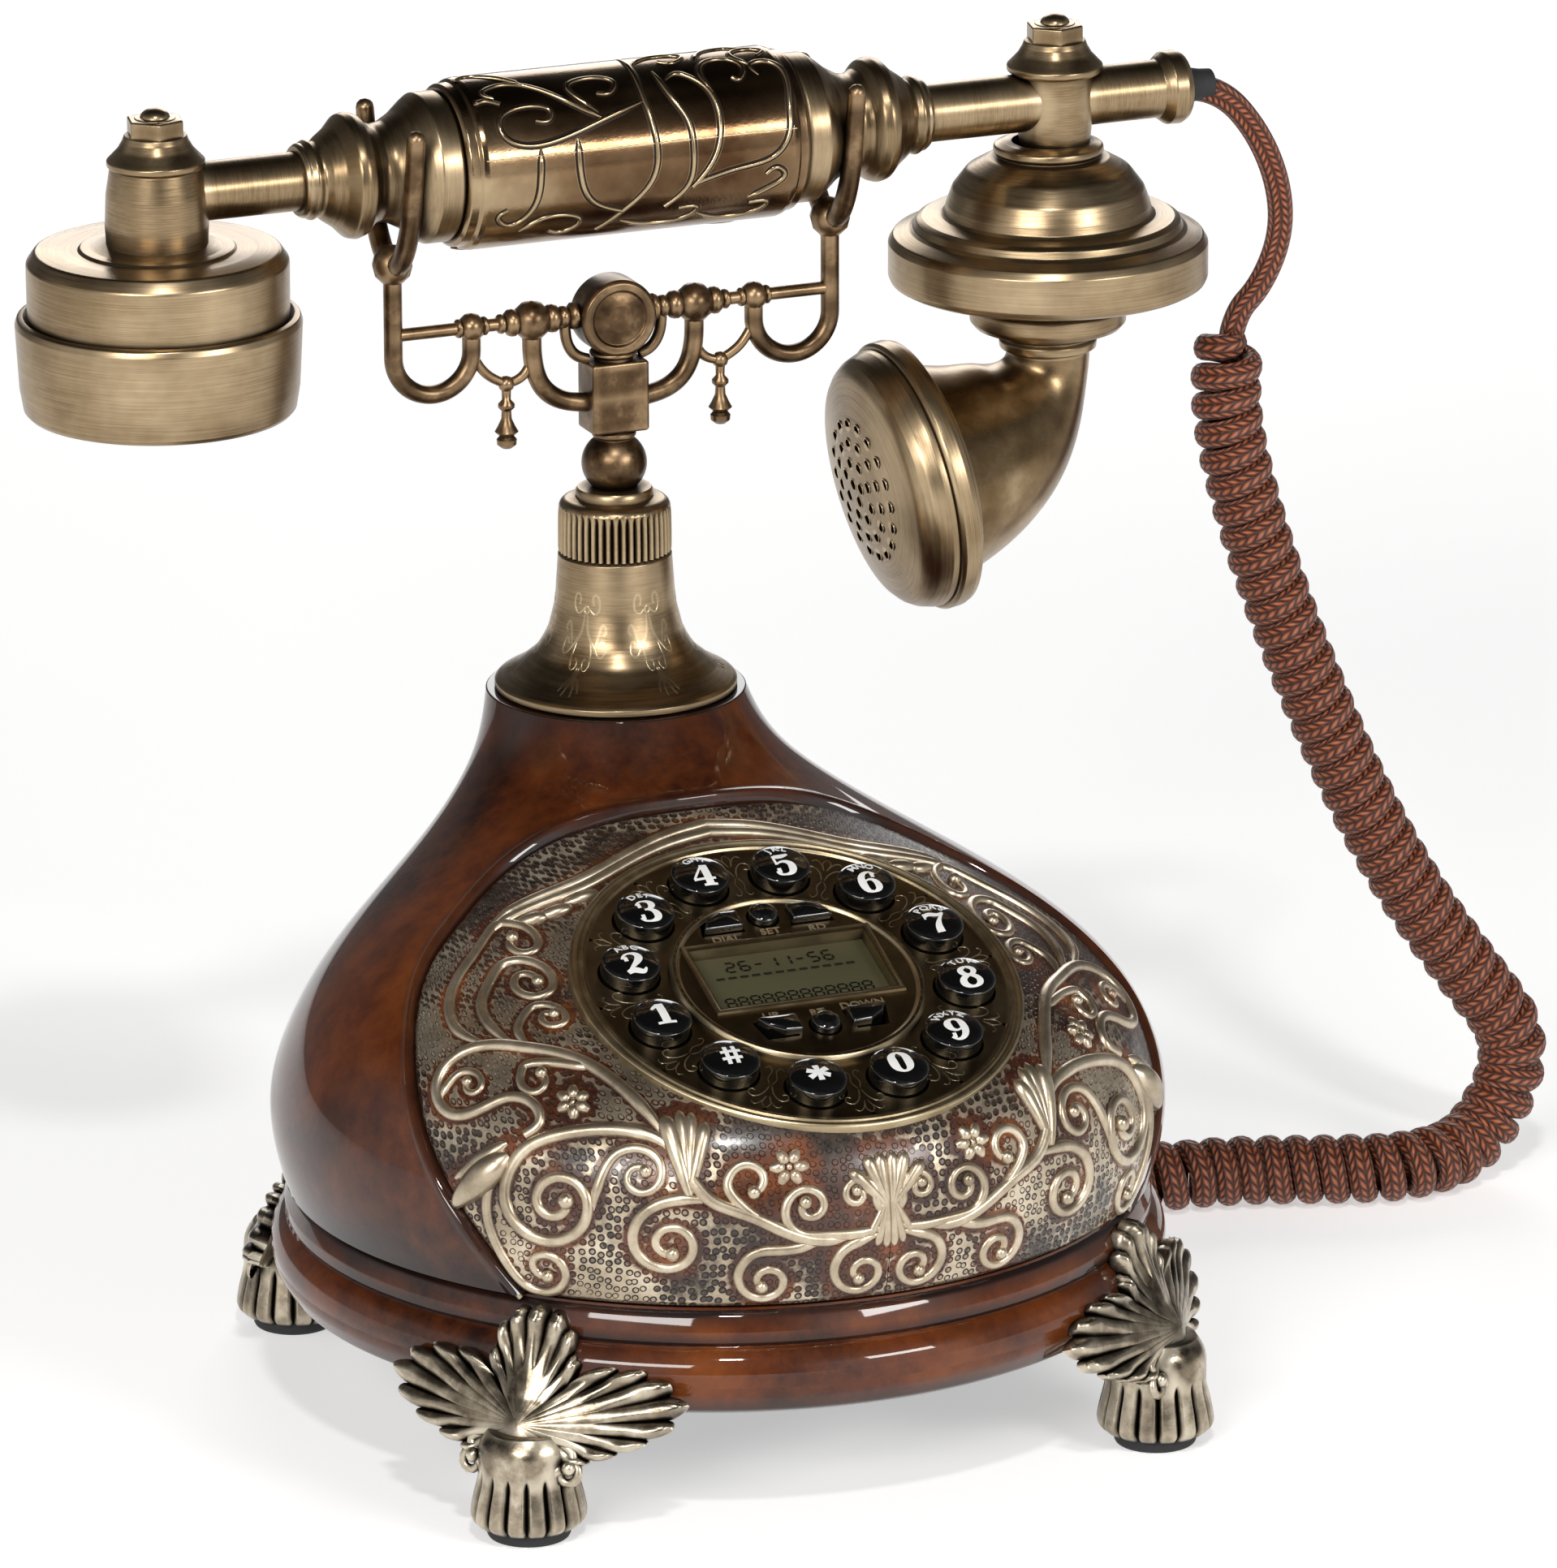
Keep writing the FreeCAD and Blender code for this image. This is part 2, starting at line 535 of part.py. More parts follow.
def make_bell():
    bell = turned("bell_collar", [
        ("sleeve_r + 0.15", "bell_tall"), ("sleeve_r + 0.15", 20), (12.6, 12), (22, 2.6), ("bell_rim - 3", 0),
        ("bell_rim", 0), ("bell_rim", 2.0), ("bell_rim - 4.8", 5.0), ("bell_rim - 9.2", 8.4, -0.5),
        ("bell_rim - 12.0", 12.8, -0.5), ("bell_top_r + 0.65", 20, -0.4), ("bell_top_r", "bell_tall")])
    place(bell, 0, "neck_y", "bell_z")
    nut = turned("knurled_nut", [
        ("post_r + post_fit", 0), ("sleeve_r", 0), ("sleeve_r", 36.2), ("nut_r", 36.2), ("nut_r", 46.2),
        ("nut_r - 2", 48.2, 0.4), ("washer_r", 48.5), ("washer_r", 50.3), ("washer_r - 0.7", 51, 0.2),
        ("post_r + post_fit", 51)])
    place(nut, 0, "neck_y", 143)


def make_post():
    """The sliding post: foot, spring flange, shaft, ball and neck."""
    post = turned("cradle_post", [
        (0, 0), (3, 0), (3, 22.1), (8.2, 22.1), (8.2, 25.1), ("post_r", 25.1), ("post_r", 84.5),
        (7.0, 86.5, 0.5), (7.0, 92, 0.9), (4.35, 94.2, 0.5), (4.35, 96.6), (0, 96.6)])
    place(post, 0, "neck_y", 110.8)


def make_cradle_head():
    neck = size("neck_y")
    half = size("block_x") / 2
    deep = size("block_y") / 2
    block = Part.makeBox(2 * half, 2 * deep, size("block_tall"), V(-half, neck - deep, size("block_z")))
    block = block.makeChamfer(0.7, block.Edges)
    medal_z = size("rail_z") - 0.7
    stem = rod(V(0, neck, size("block_z") + 14), V(0, neck, medal_z), 4.1)
    front = neck - size("medal_thick") / 2
    medal = rod(V(0, front + 0.8, medal_z), V(0, front + size("medal_thick") - 0.8, medal_z), size("medal_r"))
    rims = []
    for y in (front, front + size("medal_thick") - 0.8):
        ring = rod(V(0, y, medal_z), V(0, y + 0.8, medal_z), size("medal_r"))
        rims.append(ring.cut(rod(V(0, y - 1, medal_z), V(0, y + 3, medal_z), size("medal_r") - 1.8)))
    shaped("cradle_head", fused([block, stem, medal] + rims))


# The fork's bar from one tip to the other, forwards and upwards from its eye.
FORK_LINE = ((-15.9, 32.2), (-13.4, 18), (-9.8, 8.5), (-3.6, 0), (3.6, 0), (9.8, 8.5), (13.4, 18), (15.9, 32.2))


def yoke_shape(side):
    """One side of the cradle: rail with balls, upright, hanging loop, eye and the fork that holds the handset."""
    neck, rail = size("neck_y"), size("rail_z")
    yoke = side * size("yoke_x")
    bar = size("bar_r")
    pieces = [rod(V(side * 9.1, neck, rail), V(yoke, neck, rail), size("rail_r"))]
    for x, r in ((10.6, 3.4), (14.6, 3.3), (19.5, 4.5), (24.4, 3.2), (34, 3.1)):
        pieces.append(Part.makeSphere(r, V(side * x, neck, rail)))
    loop_x, loop_r, loop_z = side * 43.3, 9.3, 229.2
    pieces.append(rod(V(yoke, neck, loop_z), V(yoke, neck, size("eye_z")), bar))
    pieces.append(rod(V(side * 34, neck, loop_z), V(side * 34, neck, rail), bar))
    ring = Part.makeTorus(loop_r, bar, V(loop_x, neck, loop_z), ALONG_Y)
    pieces.append(ring.common(Part.makeBox(30, 10, 20, V(loop_x - 15, neck - 5, loop_z - 20))))
    pieces.append(Part.makeSphere(4.7, V(yoke, neck, size("eye_z"))))
    line = [V(yoke, neck + y, size("eye_z") + z) for y, z in FORK_LINE]
    pieces.append(swept(rounded_path(line, "fork"), bar))
    pieces += [Part.makeSphere(bar, tip) for tip in (line[0], line[-1])]
    medal = rod(V(0, neck - 9, rail - 0.7), V(0, neck + 9, rail - 0.7), size("medal_r") + 0.15)
    return fused(pieces).cut(medal)


def make_cradle_sides():
    shaped("yoke_left", yoke_shape(-1))
    shaped("yoke_right", yoke_shape(1))


def scroll_shape(side):
    """The curl from the inner ball to the block, and the pendant that hangs beside it."""
    neck = size("neck_y")
    ball_x = 19.5
    points = [V(side * ball_x, neck, 230.5), V(side * 18.6, neck, 221.5), V(side * 13.6, neck, 215.8),
              V(side * 6.0, neck, 213.8)]
    curl = swept(rounded_path(points, "curl"), 2.2)
    knot = V(side * 25.8, neck, 220.5)
    pieces = [curl, Part.makeSphere(2.1, knot)]
    pieces.append(rod(V(side * 18.9, neck, 225.5), knot, 1.2))
    pieces.append(rod(V(side * 31.6, neck, 226.5), knot, 1.2))
    pieces.append(rod(knot, V(side * 25.8, neck, 208), 1.5))
    pieces.append(Part.makeCone(1.6, 2.8, 3.4, V(side * 25.8, neck, 210.4)))
    pieces.append(Part.makeSphere(2.4, V(side * 25.8, neck, 208.2)))
    return fused(pieces)


def make_scrollwork():
    yokes = [yoke_shape(-1), yoke_shape(1)]
    halves = []
    for side, yoke in zip((-1, 1), yokes):
        block = Part.makeBox(size("block_x"), 12, 20, V(-size("block_x") / 2, size("neck_y") - 6, 206))
        half = scroll_shape(side).cut(yoke).cut(block)
        halves.append(max(half.Solids, key=lambda s: s.Volume))
    shaped("scrollwork", Part.makeCompound(halves))


# ---- handset --------------------------------------------------------------------------------------------------

def along(body, x):
    """Lay a turned body along the handset, its foot at x and its own axis towards +X."""
    place(body, x, "neck_y", "axis_z", ALONG_Y, 90)


def make_tube():
    bore = "tube_r - tube_wall"
    tube = turned("handset_tube", [
        (bore, 0), ("tube_r", 0), ("tube_r", 237), ("end_r - 0.8", 238), ("end_r", 239.4, 0.4),
        ("end_r", 241.4), ("end_r - 1.4", 243.2, 0.3), ("end_r - 1.8", 246.2), (2.9, 246.2), (2.9, 250.4),
        (1.4, 250.4), (1.4, 243.2), (bore, 241)])
    along(tube, -103)


def bell_outline():
    """Half of the handset's trim, from the grip outwards."""
    bore = "tube_r + 0.1"
    return [(bore, 0), (16.2, 0), (17.0, 1.5, 0.3), (16.4, 6.8), (12.4, 8.3, -0.5), (10.7, 9.6), (10.6, 14.6),
            (11.6, 17.0, -0.4), (14.2, 20.4, 0.4), (14.2, 23.4, 0.4), (11.4, 26.6, 0.6), (8.6, 29.6, -0.5),
            (8.3, 30.4), (9.0, 31.6, 0.4), (8.3, 33.2, 0.4), (8.0, 34.2), (bore, 34.2)]


def make_grip():
    grip = turned("grip_sleeve", [
        ("tube_r + 0.1", 0), (17.3, 0), (18.3, 2.8, 0.2), ("grip_r", 3.8), ("grip_r", 77.8), (18.3, 78.8),
        (17.3, 81.6, 0.2), ("tube_r + 0.1", 81.6)])
    along(grip, -size("grip_half"))
    left = turned("bell_left", bell_outline())
    place(left, "0 - grip_half - 0.1", "neck_y", "axis_z", ALONG_Y, -90)
    right = turned("bell_right", bell_outline())
    place(right, "grip_half + 0.1", "neck_y", "axis_z", ALONG_Y, 90)


def elbow_shape(radii, side):
    """A head's upright: barrel, cap, hexagon nut and dome; radii are its foot, middle and top."""
    axis = side * size("head_x")
    neck = size("neck_y")
    foot, middle, top = radii
    profile = [V(0, 0, 263), V(foot, 0, 263), V(middle, 0, 271), V(top, 0, 278.4), V(10.4, 0, 278.8),
               V(10.9, 0, 280.4), V(10.2, 0, 282.8), V(8.2, 0, 283.6), V(6.2, 0, 286), V(0, 0, 286)]
    spindle = Part.Face(Part.makePolygon(profile + profile[:1])).revolve(V(), UP, 360)
    nut = Part.Face(Part.makePolygon([V(6.6 * math.cos(math.radians(60 * i)), 6.6 * math.sin(math.radians(60 * i)),
                                        286) for i in range(7)])).extrude(V(0, 0, 4))
    crown = Part.makeSphere(5, V(0, 0, 286.9)).common(Part.makeBox(12, 12, 5, V(-6, -6, 290)))
    solid = fused([spindle, nut, crown])
    solid.translate(V(axis, neck, 0))
    bore_from = -103.2 if side < 0 else 90
    return solid.cut(rod(V(bore_from, neck, size("axis_z")), V(130 if side > 0 else -80, neck, size("axis_z")),
                         size("tube_r") + 0.05))


def make_elbows():
    shaped("ear_elbow", elbow_shape((10.6, 11.5, 10.5), -1))
    shaped("mouth_elbow", elbow_shape((8.0, 8.8, 8.6), 1))


def make_earpiece():
    can = turned("earpiece_can", [
        (0, 34.5), (26.5, 34.5), (26.5, "ear_cap_tall + 0.2"), ("ear_r", "ear_cap_tall + 0.2"),
        ("ear_r", "ear_tall - 2.5"), ("ear_r - 2.5", "ear_tall", 1.0), (18, "ear_tall"), (16, "ear_tall + 0.2"),
        (0, "ear_tall + 0.2")])
    place(can, "0 - head_x", "neck_y", "ear_z")
    cap = turned("earpiece_cap", [
        (0, 0), ("ear_cap_r - 2.8", 0), ("ear_cap_r - 1.6", 1.6, 0.4), ("ear_cap_r", "ear_cap_tall - 2.6"),
        ("ear_cap_r - 1.6", "ear_cap_tall", 0.6), (26.3, "ear_cap_tall"), (26.3, 3), (0, 3)])
    spots = [(0, 0)]
    for radius, count in ((5, 6), (10, 12)):
        spots += [(radius * math.cos(2 * math.pi * i / count), radius * math.sin(2 * math.pi * i / count))
                  for i in range(count)]
    holes(cap, "sound_holes", spots, 1, 20)
    place(cap, "0 - head_x", "neck_y", "ear_z")
    receiver = turned("receiver_capsule", [(0, 0), (22, 0), (22, 4), (15, 10), (0, 10)])
    place(receiver, "0 - head_x", "neck_y", "ear_z + 3.5")


def make_transmitter():
    dome = turned("transmitter_dome", [
        (0, 0), (9.8, 0), (11.6, 0.8, 0.3), (11.6, 3.2, 0.5), (10.6, 4), (12.2, 5.2), (12.4, 6.2), (16.6, 7.4),
        (17.4, 9), (17.4, 10.6), (21, 14), (21, 18.4), (36.6, 18.4), ("disc_r", 19.6, 0.4), ("disc_r", 25.4),
        (37.6, 26.8, 0.4), (32.4, 27.2), (31.8, 28.6), (30.4, 30.2, 0.4), (25.4, 30.2), (24.6, 32),
        (21.6, 38.6, 0.9), (12.2, 43.2, 1.0), (11.4, 43.8), (13, 45.4, 0.6), (11.2, 46.6, 0.5), (0, 46.6)])
    place(dome, "head_x", "neck_y", 216.2)


HORN_RINGS = ((107.7, 216, 9.8, -90), (106.4, 209.8, 10.4, -112), (103.2, 204.6, 14.2, -132),
              (98.6, 198.6, 18.6, -150), (91.8, 193.4, 21.8, -160), (84.6, 189.9, 24.2, -167),
              (79.3, 188.2, 25.8, -170))


def horn_solid(inset):
    """The bent horn: circles of (x, z, radius, heading) in the handset's own plane."""
    rings = []
    for x, z, radius, heading in HORN_RINGS:
        way = V(math.cos(math.radians(heading)), 0, math.sin(math.radians(heading)))
        rings.append(Part.Wire(Part.makeCircle(radius - inset, V(x, size("neck_y"), z), way)))
    return Part.makeLoft(rings, True)


def make_mouthpiece():
    shaped("horn", horn_solid(0).cut(horn_solid(1.8)))
    lean = FreeCAD.Rotation(ALONG_Y, -90 - size("mouth_tilt"))
    middle = V(size("mouth_x") + size("frame_x"), size("neck_y"), size("mouth_z"))
    cap = turned("mouthpiece_cap", [
        (0, 17.6), (0, 20.0), (9, 19.5), (17, 18.2, 0.2), (24, 16.0, 0.5), (28.6, 12.6, 0.8), (30.2, 8.6, 0.4),
        ("mouth_r", 8.2), ("mouth_r", 0.8), (29.4, -0.8), (27.9, -0.8), (27.9, 8.6), (26.2, 12.0), (16, 16.2)])
    spots = []
    for radius, count in ((3.2, 5), (7.8, 11), (12.4, 16)):
        spots += [(radius * math.cos(2 * math.pi * (i + 0.5) / count),
                   radius * math.sin(2 * math.pi * (i + 0.5) / count)) for i in range(count)]
    holes(cap, "speech_holes", spots, 0.9, 40)
    cap.Placement = FreeCAD.Placement(middle - lean.multVec(V(0, 0, 8)), lean)
    capsule = turned("microphone_capsule", [(0, 0), (12, 0), (12, 6), (0, 6)])
    capsule.Placement = FreeCAD.Placement(middle - lean.multVec(V(0, 0, 7)), lean)


# ---- cord -----------------------------------------------------------------------------------------------------

LEAD_ROUTE = ((147.8, 59.5, 272.3), (154.6, 59.5, 272.3), (161.2, 59.5, 260.5), (164.0, 59.5, 247.5),
              (163.6, 59.5, 234.5), (158.4, 59.5, 223.5), (150.2, 59.5, 216.2))
COIL_ROUTE = ((149.4, 59.5, 213.0), (150.0, 59.5, 196.0), (155.5, 59.5, 173.0), (163.5, 59.5, 149.0),
              (173.0, 59.5, 125.0), (184.5, 59.5, 99.0), (198.0, 59.5, 74.0), (213.5, 59.5, 52.0),
              (229.5, 60.0, 31.0), (217.0, 58.5, 8.5), (196.0, 48.5, 8.5), (175.0, 55.5, 8.5),
              (155.0, 63.5, 8.5), (136.0, 65.5, 8.5), (119.0, 77.0, 8.5), (106.0, 96.0, 8.5),
              (91.0, 114.0, 8.5), (70.0, 130.0, 8.5), (46.0, 142.0, 8.5))
TAIL_ROUTE = ((46.0, 142.0, 8.5), (30.5, 149.75, 8.5), (13.0, 151.0, 12.5), (0.0, 145.0, 24.0),
              (-8.0, 133.0, 38.5), (-8.0, 116.5, 38.5))


def make_cord():
    for label, route, width in (("cord_lead", LEAD_ROUTE, "cord_w"), ("cord_coil", COIL_ROUTE, "coil_d"),
                                ("cord_tail", TAIL_ROUTE, "cord_w")):
        wire = rounded_path([V(*p) for p in route], label)
        shaped(label, swept(wire, size(width) / 2))
    x, z, long = size("plug_x"), size("plug_z"), size("plug_long")
    plug = Part.makeBox(9.2, long + 2, 6.8, V(x - 4.6, 101.5 - 10, z - 3.4))
    relief = rod(V(x, 101.5 + long - 8, z), V(x, 116.2, z), 3.6)
    shaped("cord_plug", fused([plug, relief]))


# ---- build, check and write -----------------------------------------------------------------------------------

def check_document():
    doc.recompute()
    for thing in doc.Objects:
        if "Invalid" in thing.State or "Error" in thing.State:
            raise ValueError("%s did not build" % thing.Label)
    for node in nodes:
        if node.Shape.isNull() or not node.Shape.isValid() or not node.Shape.Solids:
            raise ValueError("%s has no valid shape" % node.Label)


def write_parts():
    os.makedirs("parts", exist_ok=True)
    for node in nodes:
        node.Shape.exportStep("parts/%s.step" % node.Label)
    print(len(nodes), "parts written")


make_plinth()
make_base_plate()
make_base_screws()
make_feet()
make_body_shell()
make_front_panel()
make_dial_plate()
make_display_bezel()
make_display()
make_keypad()
make_keys()
make_inside()
make_spring()
make_jacks()
make_bell()
make_post()
make_cradle_head()
make_cradle_sides()
make_scrollwork()
make_tube()
make_grip()
make_elbows()
make_earpiece()
make_transmitter()
make_mouthpiece()
make_cord()
check_document()
write_parts()
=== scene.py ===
import json
import math

import bpy
import numpy as np
from mathutils import Matrix, Vector, kdtree


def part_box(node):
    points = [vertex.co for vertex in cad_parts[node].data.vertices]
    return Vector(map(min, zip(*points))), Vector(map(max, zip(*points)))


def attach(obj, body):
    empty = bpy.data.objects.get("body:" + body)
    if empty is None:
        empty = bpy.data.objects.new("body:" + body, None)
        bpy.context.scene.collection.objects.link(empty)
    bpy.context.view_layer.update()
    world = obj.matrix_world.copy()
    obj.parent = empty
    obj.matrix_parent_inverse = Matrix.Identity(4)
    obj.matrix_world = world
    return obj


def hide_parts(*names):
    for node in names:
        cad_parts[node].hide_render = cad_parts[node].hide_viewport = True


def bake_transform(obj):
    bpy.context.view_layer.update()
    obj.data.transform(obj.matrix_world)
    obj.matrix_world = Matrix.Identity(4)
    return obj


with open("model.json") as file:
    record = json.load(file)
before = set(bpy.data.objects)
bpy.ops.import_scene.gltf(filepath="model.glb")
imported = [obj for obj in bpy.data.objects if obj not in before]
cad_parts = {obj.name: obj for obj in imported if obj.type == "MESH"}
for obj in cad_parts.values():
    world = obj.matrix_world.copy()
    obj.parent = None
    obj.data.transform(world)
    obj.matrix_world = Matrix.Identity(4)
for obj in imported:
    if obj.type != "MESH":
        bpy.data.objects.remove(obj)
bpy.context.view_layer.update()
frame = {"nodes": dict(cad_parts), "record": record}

# The desk telephone's looks around its CAD frame.  Sizes are in millimetres and become metres in at()
# and mesh().  x counts from the neck's plane of symmetry, y from the middle of the plinth (front is -y)
# and z from the table.

MM = 0.001
TAU = 2 * math.pi
ARC_POINTS = 5 / 1.2  # points on a rounding of one radian with a radius of one millimetre


def middle_of(node):
    """The middle of a CAD node's box, in millimetres."""
    low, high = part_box(node)
    return [(a + b) / 2 / MM for a, b in zip(low, high)]


NECK_X, NECK_Y = middle_of("bell_collar")[:2]
PLINTH_Y = 0.0
HEAD_X = 107.7
AXIS_Z = 272.3
EAR_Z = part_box("earpiece_cap")[0][2] / MM


def at(x, y, z):
    """A point in metres from millimetres, x counted from the neck."""
    return Vector(((x + NECK_X) * MM, y * MM, z * MM))


# ---- camera and light ----------------------------------------------------------------------------

def add_camera():
    """A long lens, low on the left in front, with the shift that frames the telephone."""
    azimuth, elevation, roll = (math.radians(a) for a in (-22.144, 17.697, -0.31))
    distance = 2789.6
    data = bpy.data.cameras.new("camera")
    data.sensor_width = 36
    data.lens = 288.44
    data.shift_x = 0.0398
    data.shift_y = 0.0295
    data.clip_end = 50
    camera = bpy.data.objects.new("camera", data)
    bpy.context.collection.objects.link(camera)
    back = Vector((math.sin(azimuth) * math.cos(elevation), -math.cos(azimuth) * math.cos(elevation),
                   math.sin(elevation)))
    turn = (Matrix.Rotation(azimuth, 4, "Z") @ Matrix.Rotation(math.pi / 2 - elevation, 4, "X")
            @ Matrix.Rotation(roll, 4, "Z"))
    camera.matrix_world = Matrix.Translation(at(0, 0, 130) + back * distance * MM) @ turn
    bpy.context.scene.camera = camera


def add_light(name, place, size, power, color=(1, 1, 1)):
    """A soft rectangular lamp aimed at the telephone."""
    data = bpy.data.lights.new(name, "AREA")
    data.shape = "RECTANGLE"
    data.size, data.size_y = size
    data.energy = power
    data.color = color
    lamp = bpy.data.objects.new(name, data)
    bpy.context.collection.objects.link(lamp)
    place = Vector(place)
    aim = (Vector((0, 0, 0.14)) - place).to_track_quat("-Z", "Y")
    lamp.matrix_world = Matrix.Translation(place) @ aim.to_matrix().to_4x4()


def add_studio():
    """A white studio whose soft boxes stand either side of a dark gap behind the camera."""
    world = bpy.data.worlds.new("studio")
    world.use_nodes = True
    tree = world.node_tree
    place = tree.nodes.new("ShaderNodeTexCoord").outputs["Generated"]
    split = tree.nodes.new("ShaderNodeSeparateXYZ")
    tree.links.new(place, split.inputs[0])

    def math_node(kind, a, b=0.0):
        made = tree.nodes.new("ShaderNodeMath")
        made.operation = kind
        for value, socket in zip((a, b), made.inputs):
            if isinstance(value, bpy.types.NodeSocket):
                tree.links.new(value, socket)
            else:
                socket.default_value = value
        return made.outputs[0]

    def ramp(value, stops):
        made = tree.nodes.new("ShaderNodeValToRGB")
        tree.links.new(value, made.inputs[0])
        elements = made.color_ramp.elements
        while len(elements) < len(stops):
            elements.new(0.5)
        for element, (spot, grey) in zip(elements, stops):
            element.position = spot
            element.color = (grey, grey, grey, 1)
        return made.outputs[0]

    # share of a turn from straight behind the telephone, 0.5 towards the front left where the gap is
    front = math.radians(-22.1)
    across = math_node("ADD", math_node("MULTIPLY", split.outputs[0], math.cos(front)),
                       math_node("MULTIPLY", split.outputs[1], math.sin(front)))
    along = math_node("ADD", math_node("MULTIPLY", split.outputs[0], math.sin(front)),
                      math_node("MULTIPLY", split.outputs[1], -math.cos(front)))
    turn = math_node("ADD", math_node("DIVIDE", math_node("ARCTAN2", across, along), TAU), 0.5)
    boxes = ramp(turn, ((0.0, 0.12), (0.16, 0.10), (0.24, 0.5), (0.36, 0.7), (0.43, 1.0), (0.462, 0.5),
                        (0.478, 0.03),
                        (0.53, 0.03), (0.55, 0.2), (0.585, 1.0), (0.66, 0.9), (0.70, 0.2), (0.78, 0.35),
                        (0.88, 0.12)))
    high = ramp(split.outputs[2], ((0.0, 1.0), (0.38, 1.0), (0.55, 0.32), (0.72, 0.14), (1.0, 0.10)))
    background = tree.nodes["Background"]
    tree.links.new(math_node("MULTIPLY", boxes, high), background.inputs[0])
    background.inputs[1].default_value = 1.15
    bpy.context.scene.world = world
    bpy.context.scene.view_settings.view_transform = "Standard"
    add_light("key_left", (-1.5, -1.6, 1.2), (1.1, 0.4), 25, (1, 0.98, 0.95))
    add_light("key_right", (0.9, -1.9, 1.0), (0.7, 0.3), 15, (1, 0.99, 0.97))
    add_light("front_high", (-0.5, -1.5, 2.0), (0.2, 0.14), 15)
    add_light("rim_back", (0.7, 1.7, 0.8), (1.0, 0.8), 8)


# ---- meshes --------------------------------------------------------------------------------------

def mesh(name, points, faces, sharp=35.0):
    """A mesh object from millimetre points in its own frame."""
    data = bpy.data.meshes.new(name)
    data.from_pydata([tuple(p) for p in np.asarray(points, float) * MM], [], faces)
    data.update()
    data.shade_smooth()
    data.set_sharp_from_angle(angle=math.radians(sharp))
    piece = bpy.data.objects.new(name, data)
    bpy.context.collection.objects.link(piece)
    return piece


def grid_faces(rows, columns, close_columns=False):
    """Quads of a grid of points stored row by row."""
    faces = []
    for r in range(rows - 1):
        for c in range(columns if close_columns else columns - 1):
            here, beside = r * columns + c, r * columns + (c + 1) % columns
            faces.append((here, beside, beside + columns, here + columns))
    return faces


def finish(piece, body, material, replaces=()):
    """Give a piece its material, by name, and its body, and hide the CAD nodes it stands for."""
    piece.data.materials.clear()
    piece.data.materials.append(MATERIALS[material])
    if body:
        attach(piece, body)
    if replaces:
        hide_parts(*replaces)
    return piece


def softened(corners, closed=False):
    """An outline with each corner (x, y, radius) turned into an arc of about that radius."""
    points = []
    count = len(corners)
    for index, corner in enumerate(corners):
        here = Vector(corner[:2])
        radius = corner[2] if len(corner) > 2 else 0.25
        is_end = not closed and index in (0, count - 1)
        if is_end or radius <= 0:
            points.append(here)
            continue
        back = Vector(corners[index - 1][:2]) - here
        ahead = Vector(corners[(index + 1) % count][:2]) - here
        half = back.angle(ahead) / 2
        if not 0.01 < half < math.pi / 2 - 0.01:
            points.append(here)
            continue
        reach = min(radius / math.tan(half), 0.49 * back.length, 0.49 * ahead.length)
        start = here + back.normalized() * reach
        end = here + ahead.normalized() * reach
        turn = math.pi - 2 * half
        radius = reach * math.tan(half)
        centre = here + (back.normalized() + ahead.normalized()).normalized() * radius / math.sin(half)
        arm = start - centre
        sign = 1 if arm.x * (end - centre).y - arm.y * (end - centre).x > 0 else -1
        pieces = max(2, min(14, int(turn * math.sqrt(radius) * ARC_POINTS) + 1))
        for k in range(pieces + 1):
            a = sign * turn * k / pieces
            points.append(centre + Vector((arm.x * math.cos(a) - arm.y * math.sin(a),
                                           arm.x * math.sin(a) + arm.y * math.cos(a))))
    return points


def lathe(name, corners, segments=128):
    """A piece turned about its own z axis; corners are (radius, height[, rounding])."""
    points, rings, faces = [], [], []
    for p in softened(corners):
        if p.x < 1e-4:
            rings.append([len(points)])
            points.append((0, 0, p.y))
            continue
        rings.append(range(len(points), len(points) + segments))
        for s in range(segments):
            angle = TAU * s / segments
            points.append((p.x * math.cos(angle), p.x * math.sin(angle), p.y))
    for a, b in zip(rings, rings[1:]):
        for s in range(segments):
            t = (s + 1) % segments
            if len(a) == 1 and len(b) == 1:
                break
            if len(a) == 1:
                faces.append((a[0], b[t], b[s]))
            elif len(b) == 1:
                faces.append((a[s], a[t], b[0]))
            else:
                faces.append((a[s], a[t], b[t], b[s]))
    return mesh(name, points, faces)


def stand(piece, x, y, z, turn=None):
    """Move a piece made in its own frame to its place."""
    piece.matrix_world = Matrix.Translation(at(x, y, z)) @ (turn or Matrix.Identity(4))
    return piece


def tube_mesh(path, section, up=Vector((0, 1, 0)), sizes=None):
    """Points and faces of a closed section carried along a path by parallel transport."""
    path = np.asarray(path, float)
    count = len(path)
    ways = np.gradient(path, axis=0)
    ways /= np.linalg.norm(ways, axis=1)[:, None]
    side = np.cross(ways[0], up)
    side /= np.linalg.norm(side)
    points = []
    for i in range(count):
        side = side - ways[i] * side.dot(ways[i])
        side /= np.linalg.norm(side)
        other = np.cross(side, ways[i])
        size = 1.0 if sizes is None else sizes[i]
        for x, y in section:
            points.append(path[i] + side * x * size + other * y * size)
    width = len(section)
    faces = grid_faces(count, width, close_columns=True)
    faces.append(tuple(range(width))[::-1])
    faces.append(tuple(range((count - 1) * width, count * width)))
    return points, faces


def circle(radius, count=16):
    """A round section."""
    return [(radius * math.cos(TAU * k / count), radius * math.sin(TAU * k / count)) for k in range(count)]


# ---- cord ----------------------------------------------------------------------------------------

